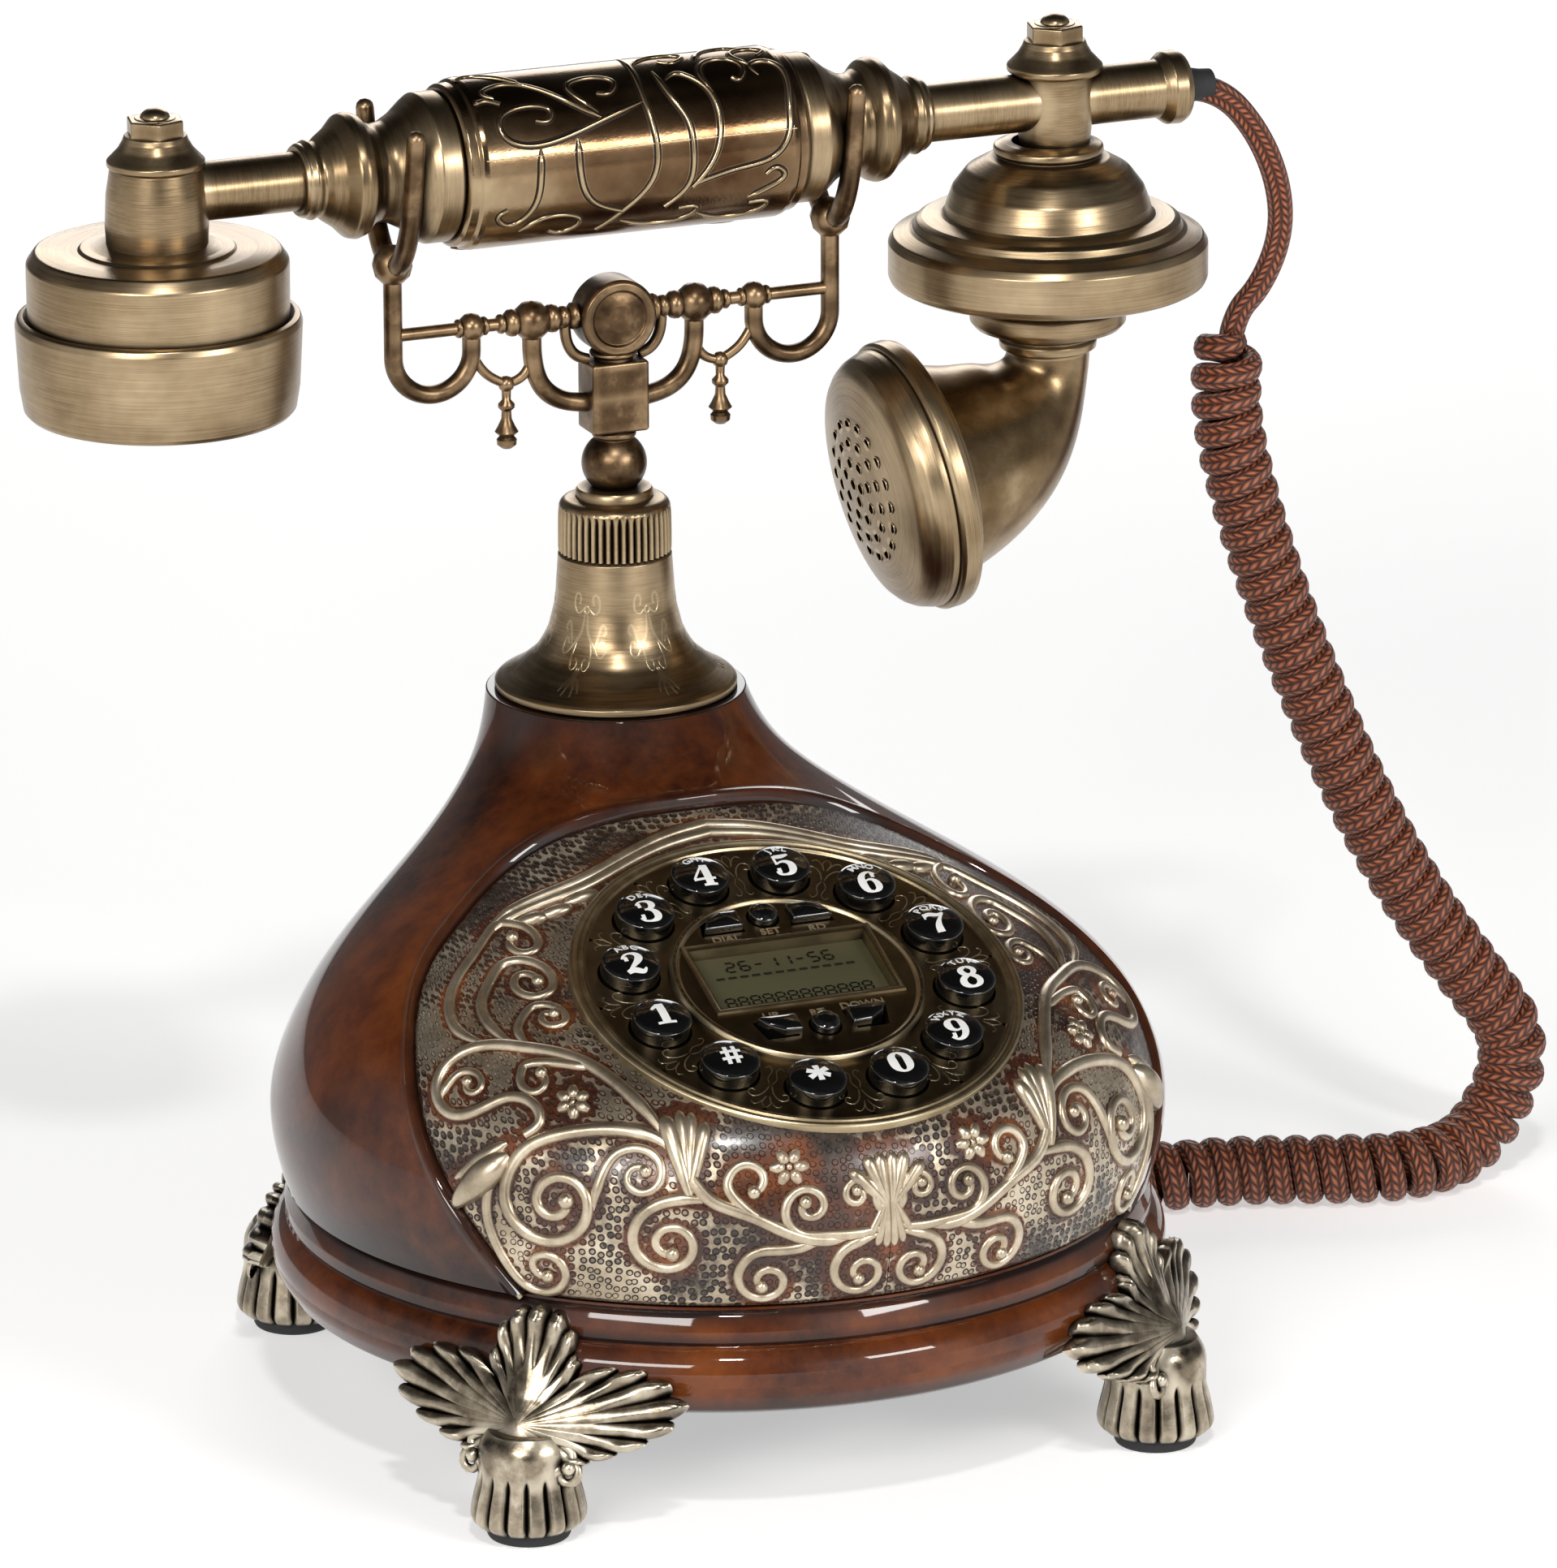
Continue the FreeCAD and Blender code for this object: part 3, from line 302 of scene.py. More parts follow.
CORD_WIDE = 6.2
CORD_THICK = 4.6
COIL_WIDE = 16.4
COIL_PITCH = 6.4
LEAD_ROUTE = ((143.4, 59.5, 271.4), (149.5, 59.5, 270.0), (158.3, 59.5, 259.5), (163.6, 59.5, 247.0),
              (164.4, 59.5, 235.0), (159.6, 59.5, 223.5), (152.0, 59.5, 216.5))
COIL_ROUTE = ((149.4, 59.5, 213.0), (150.0, 59.5, 196.0), (155.5, 59.5, 173.0), (163.5, 59.5, 149.0),
              (173.0, 59.5, 125.0), (184.5, 59.5, 99.0), (198.0, 59.5, 74.0), (213.5, 59.5, 52.0),
              (229.5, 60.0, 31.0), (217.0, 58.5, 8.5), (196.0, 48.5, 8.5), (175.0, 55.5, 8.5),
              (155.0, 63.5, 8.5), (136.0, 65.5, 8.5), (119.0, 77.0, 8.5), (106.0, 96.0, 8.5),
              (91.0, 114.0, 8.5), (70.0, 130.0, 8.5), (46.0, 142.0, 8.5))
TAIL_ROUTE = ((46.0, 142.0, 8.5), (30.5, 149.75, 8.5), (13.0, 151.0, 12.5), (0.0, 145.0, 24.0),
              (-8.0, 133.0, 38.5), (-8.0, 116.5, 38.5))


def route_line(route):
    """Points in millimetres along the smooth spline of a route."""
    data = bpy.data.curves.new("route", "CURVE")
    data.dimensions = "3D"
    spline = data.splines.new("NURBS")
    spline.points.add(len(route) - 1)
    for point, place in zip(spline.points, route):
        point.co = (*at(*place), 1)
    spline.order_u = 3
    spline.use_endpoint_u = True
    spline.resolution_u = 24
    holder = bpy.data.objects.new("route", data)
    line = bpy.data.meshes.new_from_object(holder)
    points = np.array([v.co for v in line.vertices]) / MM
    bpy.data.objects.remove(holder)
    bpy.data.curves.remove(data)
    bpy.data.meshes.remove(line)
    return points


def respaced(points, step):
    """The same line with points a fixed step apart."""
    lengths = np.concatenate([[0], np.cumsum(np.linalg.norm(np.diff(points, axis=0), axis=1))])
    places = np.linspace(0, lengths[-1], max(2, int(round(lengths[-1] / step)) + 1))
    return np.stack([np.interp(places, lengths, points[:, k]) for k in range(3)], 1), places


def frames(points, side):
    """Two directions square to the line at each of its points, carried along without twist."""
    ways = np.gradient(points, axis=0)
    ways /= np.linalg.norm(ways, axis=1)[:, None]
    sides, others = [], []
    for way in ways:
        side = side - way * side.dot(way)
        side = side / np.linalg.norm(side)
        sides.append(side)
        others.append(np.cross(way, side))
    return np.array(sides), np.array(others)


def make_cord():
    """The handset's cord: a straight lead, a tight coil and a short tail to the plug, as one flat braid."""
    whole = route_line(LEAD_ROUTE + COIL_ROUTE[1:] + TAIL_ROUTE[1:])
    line, along = respaced(whole, 0.2)
    sides, others = frames(line, np.array([0.0, 1.0, 0.0]))
    coil_from = np.argmin(np.linalg.norm(line - np.array(at(*COIL_ROUTE[0])) / MM, axis=1))
    coil_to = np.argmin(np.linalg.norm(line - np.array(at(*TAIL_ROUTE[0])) / MM, axis=1))
    start, end = along[coil_from], along[coil_to]
    ramp = 4.0
    swing = (COIL_WIDE - CORD_THICK) / 2
    rise = np.clip((along - start) / ramp, 0, 1) * np.clip((end - along) / ramp, 0, 1)
    radius = swing * rise ** 2 * (3 - 2 * rise)
    angle = TAU * (along - start) / COIL_PITCH + math.pi * 0.5
    centre = line + sides * (radius * np.cos(angle))[:, None] + others * (radius * np.sin(angle))[:, None]
    centre = respaced(centre, 0.9)[0]
    # the flat side faces away from the coil's middle; on the straight ends it keeps its direction
    gaps = np.array([np.argmin(np.sum((line[::4] - c) ** 2, axis=1)) * 4 for c in centre[::4]])
    core = line[np.interp(np.arange(len(centre)), np.arange(len(gaps)) * 4, gaps).astype(int)]
    flat_way = np.gradient(centre, axis=0)
    flat_way /= np.linalg.norm(flat_way, axis=1)[:, None]
    out = centre - core
    lift = np.linalg.norm(out, axis=1)
    turned = np.zeros_like(out)
    last = np.array([0.0, -1.0, 0.1])
    for i in range(len(out)):
        last = out[i] / lift[i] if lift[i] > 2.0 else last
        last = last - flat_way[i] * last.dot(flat_way[i])
        last = last / np.linalg.norm(last)
        turned[i] = last
    wide = np.cross(flat_way, turned)
    steps = 14
    points = []
    for i in range(len(centre)):
        for k in range(steps):
            a = TAU * k / steps
            points.append(centre[i] + wide[i] * math.cos(a) * CORD_WIDE / 2 * 0.99
                          + turned[i] * math.sin(a) * CORD_THICK / 2)
    faces = grid_faces(len(centre), steps, close_columns=True)
    faces.append(tuple(range(steps)))
    faces.append(tuple(range((len(centre) - 1) * steps, len(centre) * steps))[::-1])
    cord = mesh("handset_cord", points, faces, sharp=80)
    lengths = np.concatenate([[0], np.cumsum(np.linalg.norm(np.diff(centre, axis=0), axis=1))])
    lay = cord.data.uv_layers.new(name="braid")
    loops = np.empty(len(cord.data.loops), int)
    cord.data.loops.foreach_get("vertex_index", loops)
    uv = np.zeros((len(loops), 2))
    uv[:, 0] = lengths[loops // steps] / CORD_WIDE
    uv[:, 1] = (loops % steps) / steps
    starts = np.empty(len(cord.data.polygons), int)
    cord.data.polygons.foreach_get("loop_start", starts)
    for first in starts[:-2]:
        around = uv[first:first + 4, 1]
        if around.max() - around.min() > 0.5:
            around[around < 0.5] += 1
    lay.data.foreach_set("uv", uv.ravel())
    finish(cord, None, "cord", ("cord_lead", "cord_coil", "cord_tail"))
    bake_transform(cord)
    print("cord length", round(lengths[-1]), "mm, coil turns", round((end - start) / COIL_PITCH, 1))


# ---- materials -----------------------------------------------------------------------------------

MATERIALS = {}


class Paint:
    """A node material being built: short names for the nodes the finishes are made of."""

    def __init__(self, name):
        self.material = bpy.data.materials.new(name)
        self.material.use_nodes = True
        self.tree = self.material.node_tree
        self.shader = self.tree.nodes["Principled BSDF"]
        self.place = None
        MATERIALS[name] = self.material

    def node(self, kind, **settings):
        made = self.tree.nodes.new("ShaderNode" + kind)
        for key, value in settings.items():
            setattr(made, key, value)
        return made

    def link(self, value, socket):
        """Join an output to a socket, or set the socket to a plain value."""
        if isinstance(value, bpy.types.NodeSocket):
            self.tree.links.new(value, socket)
        else:
            socket.default_value = value

    def set(self, **inputs):
        for key, value in inputs.items():
            self.link(value, self.shader.inputs[key.replace("_", " ")])

    def object_place(self):
        if self.place is None:
            self.place = self.node("TexCoord").outputs["Object"]
        return self.place

    def math(self, operation, a, b=0.0, clamp=False):
        made = self.node("Math", operation=operation, use_clamp=clamp)
        for value, socket in zip((a, b), made.inputs):
            self.link(value, socket)
        return made.outputs[0]

    def cells(self, chart, jitter):
        """Distance to the nearest mark of a hammered ground, laid out over a flat chart of the surface."""
        made = self.node("TexVoronoi", voronoi_dimensions="2D", feature="F1")
        self.link(self.node("UVMap", uv_map=chart).outputs[0], made.inputs["Vector"])
        made.inputs["Scale"].default_value = 1.0
        made.inputs["Randomness"].default_value = jitter
        return made.outputs["Distance"]

    def noise(self, scale, detail=4.0, rough=0.5, vector=None, distort=0.0):
        made = self.node("TexNoise")
        self.link(vector or self.object_place(), made.inputs["Vector"])
        made.inputs["Scale"].default_value = scale
        made.inputs["Detail"].default_value = detail
        made.inputs["Roughness"].default_value = rough
        made.inputs["Distortion"].default_value = distort
        return made.outputs["Fac"]

    def ramp(self, value, *stops):
        """A colour ramp: each stop is (place, colour or grey)."""
        made = self.node("ValToRGB")
        self.link(value, made.inputs[0])
        elements = made.color_ramp.elements
        while len(elements) < len(stops):
            elements.new(0.5)
        for element, (place, color) in zip(elements, stops):
            element.position = place
            element.color = (*color, 1) if isinstance(color, tuple) else (color, color, color, 1)
        return made.outputs[0]

    def mix(self, amount, a, b):
        made = self.node("Mix", data_type="RGBA")
        self.link(amount, made.inputs[0])
        self.link((*a, 1) if isinstance(a, tuple) else a, made.inputs[6])
        self.link((*b, 1) if isinstance(b, tuple) else b, made.inputs[7])
        return made.outputs[2]

    def bump(self, height, depth, after=None):
        made = self.node("Bump")
        made.inputs["Strength"].default_value = 1.0
        made.inputs["Distance"].default_value = depth
        self.link(height, made.inputs["Height"])
        if after:
            self.link(after, made.inputs["Normal"])
        return made.outputs[0]

    def attribute(self, name):
        return self.node("Attribute", attribute_name=name).outputs["Fac"]

    def spread(self, value, low, high, start=0.0, end=1.0):
        made = self.node("MapRange")
        for number, socket in zip((value, low, high, start, end), made.inputs):
            self.link(number, socket)
        return made.outputs[0]


def around_axis(paint, fine, along):
    """A vector for streaks round a turned piece: slow round the axis, fast along it and outward."""
    split = paint.node("SeparateXYZ")
    paint.link(paint.object_place(), split.inputs[0])
    x, y, z = split.outputs
    radius = paint.math("SQRT", paint.math("ADD", paint.math("MULTIPLY", x, x), paint.math("MULTIPLY", y,
                                                                                           y)))
    safe = paint.math("MAXIMUM", radius, 0.0005)
    joined = paint.node("CombineXYZ")
    paint.link(paint.math("MULTIPLY", paint.math("DIVIDE", x, safe), along), joined.inputs[0])
    paint.link(paint.math("MULTIPLY", paint.math("DIVIDE", y, safe), along), joined.inputs[1])
    paint.link(paint.math("MULTIPLY", paint.math("ADD", z, radius), fine), joined.inputs[2])
    return joined.outputs[0]


def hollow_and_edge(paint, distance=0.004):
    """Two masks from the shape alone: darkness in crevices, and wear on proud edges."""
    crevice = paint.node("AmbientOcclusion", samples=6)
    crevice.inputs["Distance"].default_value = distance
    edge = paint.node("AmbientOcclusion", samples=6, inside=True)
    edge.inputs["Distance"].default_value = distance * 0.6
    return crevice.outputs["AO"], edge.outputs["AO"]


def metal(name, dark, middle, light, rough=0.3, patina=(0.03, 0.02, 0.01), turned=False, streak=0.06,
          patina_from=0.35, patina_to=0.85, mottle=60.0, uneven=0.25, brush_bump=0.00002, edge_wear=0.6):
    """An aged metal: a mottled base, fine brushing, patina in the crevices and light on the edges."""
    paint = Paint(name)
    blotch = paint.noise(mottle, 5, 0.6)
    color = paint.ramp(blotch, (0.32, dark), (0.5, middle), (0.72, light))
    if turned:
        fine = paint.noise(1.0, 3, 0.7, around_axis(paint, 5200, 1.6))
        color = paint.mix(streak * 4, color, paint.ramp(fine, (0.3, dark), (0.7, light)))
    else:
        fine = paint.noise(1400, 2, 0.6)
    crevice, edge = hollow_and_edge(paint)
    color = paint.mix(paint.math("MULTIPLY", paint.spread(edge, 0.9, 0.35), edge_wear, clamp=True), color,
                      light)
    dirt = paint.spread(crevice, patina_to, patina_from)
    color = paint.mix(dirt, color, patina)
    roughness = paint.math("ADD", paint.math("MULTIPLY", paint.math("SUBTRACT", blotch, 0.5), uneven),
                           rough)
    roughness = paint.math("ADD", roughness, paint.math("MULTIPLY", dirt, 0.3), clamp=True)
    paint.set(Base_Color=color, Metallic=1.0, Roughness=roughness, Normal=paint.bump(fine, brush_bump))
    return paint


def plain(name, color, rough, metallic=0.0, coat=0.0, bump=None, **more):
    """A finish with a slight unevenness of tone and gloss."""
    paint = Paint(name)
    tone = paint.noise(180, 4, 0.6)
    paint.set(Base_Color=paint.mix(tone, tuple(c * 0.8 for c in color),
                                   tuple(min(1, c * 1.2) for c in color)),
              Roughness=paint.math("ADD", paint.math("MULTIPLY", tone, 0.1), rough - 0.05),
              Metallic=metallic, Coat_Weight=coat, Coat_Roughness=0.04, **more)
    if bump:
        scale, depth = bump
        paint.set(Normal=paint.bump(paint.noise(scale, 3), depth))
    return paint


def lacquer():
    """Brown lacquer: orange-brown clouds, near-black smudges and painted shade that each piece carries per
    point, under a clear glossy coat.
    """
    paint = Paint("lacquer")
    cloud = paint.noise(11, 5, 0.6, distort=0.5)
    smudge = paint.noise(17, 3, 0.55)
    grain = paint.noise(90, 6, 0.75)
    warm = paint.ramp(cloud, (0.36, (0.014, 0.003, 0.001)), (0.52, (0.085, 0.017, 0.003)),
                      (0.70, (0.25, 0.068, 0.010)))
    color = paint.mix(0.3, warm, paint.ramp(grain, (0.38, (0.02, 0.004, 0.001)),
                                            (0.62, (0.20, 0.052, 0.008))))
    # darkening: painted shade given per point by each piece, added to random near-black smudges
    dark = paint.math("ADD", paint.attribute("painted_shade"), paint.spread(smudge, 0.50, 0.68, 0.0, 0.7),
                      clamp=True)
    color = paint.mix(dark, color, (0.010, 0.004, 0.003))
    paint.set(Base_Color=color, Roughness=0.5, Coat_Weight=0.9, Coat_Roughness=0.04, Coat_IOR=1.45,
              Specular_IOR_Level=0.1, Normal=paint.bump(paint.noise(38, 3), 0.00006))
    return paint


def relief_metal():
    """Champagne silver rubbed over the relief's high places, brown glaze and black in its hollows."""
    paint = Paint("relief")
    high = paint.attribute("high")
    glaze = paint.attribute("glaze")
    blotch = paint.noise(70, 6, 0.65)
    streaks = paint.noise(500, 4, 0.7)
    wear = paint.noise(26, 4, 0.6)
    silver = paint.ramp(blotch, (0.3, (0.27, 0.215, 0.15)), (0.5, (0.52, 0.43, 0.31)),
                        (0.7, (0.80, 0.70, 0.54)))
    black = paint.ramp(streaks, (0.35, (0.010, 0.006, 0.004)), (0.65, (0.06, 0.038, 0.026)))
    brown = paint.ramp(blotch, (0.35, (0.018, 0.005, 0.002)), (0.5, (0.06, 0.014, 0.004)),
                       (0.72, (0.24, 0.068, 0.012)))
    hammered = paint.attribute("hammered")
    spot = paint.cells("chart", 0.5)
    dent = paint.math("MULTIPLY", paint.spread(spot, 0.37, 0.25), hammered)
    groove = paint.math("MULTIPLY", paint.spread(spot, 0.20, 0.31), paint.spread(spot, 0.46, 0.36))
    groove = paint.math("MULTIPLY", groove, hammered)
    crevice = paint.spread(hollow_and_edge(paint, 0.0025)[0], 0.8, 0.4)
    high = paint.math("SUBTRACT", high, paint.math("MULTIPLY", groove, 0.40))
    high = paint.math("SUBTRACT", high, paint.math("MULTIPLY", dent, 0.20))
    high = paint.math("SUBTRACT", high, paint.math("MULTIPLY", crevice, 0.30))
    rub = paint.math("ADD", high, paint.math("MULTIPLY", paint.math("SUBTRACT", streaks, 0.5), 0.5))
    rub = paint.math("ADD", rub, paint.math("MULTIPLY", paint.math("SUBTRACT", wear, 0.5), 2.2))
    cover = paint.spread(rub, 0.40, 0.66)
    under = paint.mix(glaze, black, brown)
    color = paint.mix(cover, under, silver)
    paint.set(Base_Color=color, Metallic=paint.spread(cover, 0, 1, 0.0, 0.92),
              Roughness=paint.spread(cover, 0, 1, 0.3, 0.33), Coat_Weight=0.3, Coat_Roughness=0.15,
              Normal=paint.bump(dent, -0.0005, after=paint.bump(streaks, 0.00005)))
    return paint


def braid():
    """Twisted strands: little oval threads laid slantwise in rows along the cord, their colour darker in
    the gaps between them as painted shade.
    """
    paint = Paint("cord")
    uv = paint.node("UVMap", uv_map="braid").outputs[0]
    split = paint.node("SeparateXYZ")
    paint.link(uv, split.inputs[0])
    along, around = split.outputs[0], split.outputs[1]
    lanes = paint.math("MULTIPLY", around, 10)
    lane = paint.math("FLOOR", lanes)
    across = paint.math("SUBTRACT", paint.math("FRACT", lanes), 0.5)
    flip = paint.math("SUBTRACT", paint.math("MULTIPLY", paint.math("PINGPONG", lane, 1.0), 2), 1)
    slant = paint.math("MULTIPLY", paint.math("MULTIPLY", across, flip), 0.9)
    thread = paint.math("FRACT", paint.math("ADD", paint.math("MULTIPLY", along, 3.4), slant))
    mound = paint.math("SINE", paint.math("MULTIPLY", thread, math.pi))
    ridge = paint.math("COSINE", paint.math("MULTIPLY", across, math.pi))
    height = paint.math("MULTIPLY", mound, ridge)
    hair = paint.noise(900, 3, 0.7)
    tone = paint.math("ADD", height, paint.math("MULTIPLY", paint.math("SUBTRACT", hair, 0.5), 0.5))
    # the colour follows the threads' height: painted shade darkens the gaps between threads and painted
    # light brightens their crests, with random fibre tone from the hair noise
    color = paint.ramp(tone, (0.05, (0.030, 0.007, 0.003)), (0.5, (0.17, 0.040, 0.014)),
                       (0.95, (0.38, 0.115, 0.045)))
    paint.set(Base_Color=color, Roughness=0.5, Sheen_Weight=0.06, Sheen_Roughness=0.4,
              Normal=paint.bump(paint.math("ADD", height, paint.math("MULTIPLY", hair, 0.15)), 0.0005))
    return paint


def display():
    """Dark olive liquid crystal."""
    paint = Paint("display")
    cloud = paint.noise(30, 2)
    paint.set(Base_Color=paint.ramp(cloud, (0.3, (0.062, 0.058, 0.030)), (0.7, (0.080, 0.075, 0.040))),
              Roughness=0.55, Specular_IOR_Level=0.15)


def make_materials():
    brass = dict(dark=(0.105, 0.064, 0.028), middle=(0.235, 0.160, 0.084), light=(0.56, 0.43, 0.27))
    metal("brass", rough=0.29, patina=(0.012, 0.006, 0.003), turned=True, patina_from=0.35, patina_to=0.88,
          mottle=20, uneven=0.12, streak=0.09, **brass)
    metal("brass_plate", rough=0.36, patina=(0.012, 0.008, 0.004), dark=(0.065, 0.045, 0.022),
          middle=(0.115, 0.082, 0.042), light=(0.25, 0.19, 0.105), mottle=26, patina_from=0.1,
          patina_to=0.5)
    metal("brass_bright", rough=0.28, patina=(0.018, 0.009, 0.004), mottle=40, uneven=0.15, **brass)
    metal("dial_gold", rough=0.3, patina=(0.05, 0.035, 0.02), dark=(0.24, 0.175, 0.095), middle=(0.38, 0.29,
                                                                                                 0.17),
          light=(0.62, 0.51, 0.33), mottle=120, uneven=0.15)
    metal("grip_bronze", rough=0.17, patina=(0.014, 0.006, 0.003), dark=(0.075, 0.038, 0.018),
          middle=(0.20, 0.125, 0.066), light=(0.50, 0.38, 0.23), mottle=22, uneven=0.2)
    # the dark ribbon under the grip's vines: painted shadow
    plain("grip_shadow", (0.016, 0.008, 0.004), 0.45, metallic=0.6)
    metal("cradle_bronze", rough=0.33, patina=(0.012, 0.007, 0.004), dark=(0.045, 0.026, 0.014),
          middle=(0.105, 0.064, 0.034), light=(0.34, 0.23, 0.13), mottle=120, uneven=0.3, edge_wear=0.8)
    metal("foot_silver", rough=0.26, patina=(0.006, 0.004, 0.003), dark=(0.012, 0.008, 0.005),
          middle=(0.30, 0.245, 0.175), light=(0.80, 0.71, 0.56), mottle=95, uneven=0.3,
          patina_from=0.55, patina_to=0.98, edge_wear=0.9)
    metal("steel", rough=0.3, patina=(0.05, 0.05, 0.05), dark=(0.32, 0.32, 0.33), middle=(0.5, 0.5, 0.52),
          light=(0.7, 0.7, 0.72))
    lacquer()
    relief_metal()
    braid()
    display()
    plain("key_black", (0.003, 0.003, 0.003), 0.12, coat=1.0)
    # near-black for the insides of the holes: painted shade
    plain("hole_painted_shade", (0.002, 0.0015, 0.001), 0.9, Specular_IOR_Level=0.0)
    plain("key_white", (0.84, 0.84, 0.82), 0.35)
    plain("print_gold", (0.36, 0.28, 0.17), 0.4, metallic=0.6)
    plain("segment", (0.004, 0.004, 0.002), 0.8, Specular_IOR_Level=0.1)
    plain("segment_faint", (0.016, 0.015, 0.008), 0.8, Specular_IOR_Level=0.1)
    plain("rubber", (0.016, 0.016, 0.017), 0.7, bump=(900, 0.00005))
    plain("black_plastic", (0.02, 0.02, 0.022), 0.42, bump=(1200, 0.00003))
    plain("board", (0.02, 0.11, 0.05), 0.45)
    plain("clear", (0.8, 0.83, 0.85), 0.12, Transmission_Weight=0.75, IOR=1.49)


CAD_FINISH = {
    "lacquered_wood": "lacquer", "silvered_relief": "relief", "antique_silver": "foot_silver",
    "antique_brass": "brass_bright", "red_bronze": "grip_bronze", "dark_bronze": "cradle_bronze",
    "dial_bronze": "brass_plate", "black_gloss": "key_black", "display_glass": "display", "steel": "steel",
    "black_rubber": "rubber", "black_plastic": "black_plastic", "circuit_board": "board",
    "braided_cord": "cord", "clear_plug": "clear",
}


def paint_cad():
    """Every CAD node gets the finish of its material slot."""
    for entry in frame["record"]["subparts"]:
        node = frame["nodes"][entry["node"]]
        node.data.materials.clear()
        node.data.materials.append(MATERIALS[CAD_FINISH[entry["material_slot"]]])


# ---- body and relief -----------------------------------------------------------------------------

BODY_RINGS = ((51.6, -97.0, 97.0), (62, -99.5, 99.5), (72, -100, 99.5), (84, -97, 95.5), (96, -87.5, 90),
              (108, -64, 85), (120, -25, 83.5), (132, 11.5, 86), (147, 30.1, 88.9))
PANEL_OUTLINE = ((0, 132.5), (29, 129), (59, 116), (78.5, 103), (86.5, 87), (82.5, 68), (72, 51.8))
BODY_LOW, BODY_HIGH = 51.8, 147.0
DIAL_Y, DIAL_Z, DIAL_TILT, DIAL_R = -46.6, 108.7, math.radians(21.2), 50.4
WALL_R = 95.0


def spline(xs, ys):
    """A natural cubic through points, as a function of numbers or arrays."""
    xs, ys = np.asarray(xs, float), np.asarray(ys, float)
    gaps = np.diff(xs)
    slopes = np.diff(ys) / gaps
    count = len(xs)
    matrix = np.eye(count)
    right = np.zeros(count)
    for i in range(1, count - 1):
        matrix[i, i - 1:i + 2] = gaps[i - 1], 2 * (gaps[i - 1] + gaps[i]), gaps[i]
        right[i] = 6 * (slopes[i] - slopes[i - 1])
    bends = np.linalg.solve(matrix, right)

    def value(x):
        i = np.clip(np.searchsorted(xs, x) - 1, 0, count - 2)
        a, b = xs[i + 1] - x, x - xs[i]
        gap = gaps[i]
        return ((bends[i] * a ** 3 + bends[i + 1] * b ** 3) / (6 * gap)
                + (ys[i] / gap - bends[i] * gap / 6) * a + (ys[i + 1] / gap - bends[i + 1] * gap / 6) * b)
    return value


FRONT_Y = spline([r[0] for r in BODY_RINGS], [r[1] for r in BODY_RINGS])
BACK_Y = spline([r[0] for r in BODY_RINGS], [r[2] for r in BODY_RINGS])
LEVELS = np.arange(BODY_LOW - 0.2, BODY_HIGH + 0.01, 0.2)
CLIMB = np.concatenate([[0], np.cumsum(np.hypot(np.diff(LEVELS), np.diff(FRONT_Y(LEVELS))))])


def body_point(phi, z):
    """The body's outer surface at an angle from the front (radians, + to the right) and a height."""
    middle = (FRONT_Y(z) + BACK_Y(z)) / 2
    radius = (BACK_Y(z) - FRONT_Y(z)) / 2
    return np.stack([radius * np.sin(phi), middle - radius * np.cos(phi), z + 0 * phi], -1)


def body_normal(phi, z):
    """The way out of the body's surface at the same places."""
    across = body_point(phi + 0.002, z) - body_point(phi - 0.002, z)
    up = body_point(phi, z + 0.1) - body_point(phi, z - 0.1)
    normal = np.cross(across, up)
    return normal / np.linalg.norm(normal, axis=-1)[..., None]


def chart(p, q):
    """Chart to surface: p is millimetres round the wall from the middle, q millimetres up the front."""
    phi = np.asarray(p, float) / WALL_R
    z = np.interp(q, CLIMB, LEVELS)
    return body_point(phi, z), body_normal(phi, z)


def smooth_curve(points, count):
    """Points evenly spaced along a smooth curve through the given ones."""
    points = np.asarray(points, float)
    if len(points) == 2:
        return points[0] + (points[1] - points[0]) * np.linspace(0, 1, count)[:, None]
    steps = np.sqrt(np.linalg.norm(np.diff(points, axis=0), axis=1))
    knots = np.concatenate([[0], np.cumsum(steps)])
    fine = np.linspace(0, knots[-1], count * 4)
    line = np.stack([spline(knots, points[:, k])(fine) for k in range(points.shape[1])], 1)
    lengths = np.concatenate([[0], np.cumsum(np.linalg.norm(np.diff(line, axis=0), axis=1))])
    places = np.linspace(0, lengths[-1], count)
    return np.stack([np.interp(places, lengths, line[:, k]) for k in range(points.shape[1])], 1)


def panel_edge(count):
    """The relief panel's edge from lower left over the top to lower right, as (phi, z)."""
    right = list(PANEL_OUTLINE)
    left = [(-x, z) for x, z in right[:0:-1]]
    line = smooth_curve(left + right, count)
    radius = (BACK_Y(line[:, 1]) - FRONT_Y(line[:, 1])) / 2
    phi = np.arcsin(np.clip(line[:, 0] / radius, -1, 1))
    return np.stack([phi, line[:, 1]], 1)


def dial_edge(angles, reach):
    """Where a drum square to the dial meets the body, as (phi, z) for angles round the dial."""
    found = []
    tilt = np.array([[1, 0, 0], [0, math.cos(DIAL_TILT), math.sin(DIAL_TILT)]])
    out = np.array([0, -math.sin(DIAL_TILT), math.cos(DIAL_TILT)])
    heights = np.linspace(-14, 14, 281)
    for angle in angles:
        flat = reach * (math.cos(angle) * tilt[0] + math.sin(angle) * tilt[1])
        spots = np.array([0, DIAL_Y, DIAL_Z]) + flat + heights[:, None] * out
        z = np.clip(spots[:, 2], BODY_LOW, BODY_HIGH)
        middle, radius = (FRONT_Y(z) + BACK_Y(z)) / 2, (BACK_Y(z) - FRONT_Y(z)) / 2
        outside = np.hypot(spots[:, 0], spots[:, 1] - middle) - radius
        inside = np.nonzero(outside < 0)[0]
        spot = spots[inside[-1] if len(inside) else 0]
        k = inside[-1] if len(inside) else 0
        found.append((math.atan2(spot[0], middle[k] - spot[1]), spot[2]))
    return np.array(found)


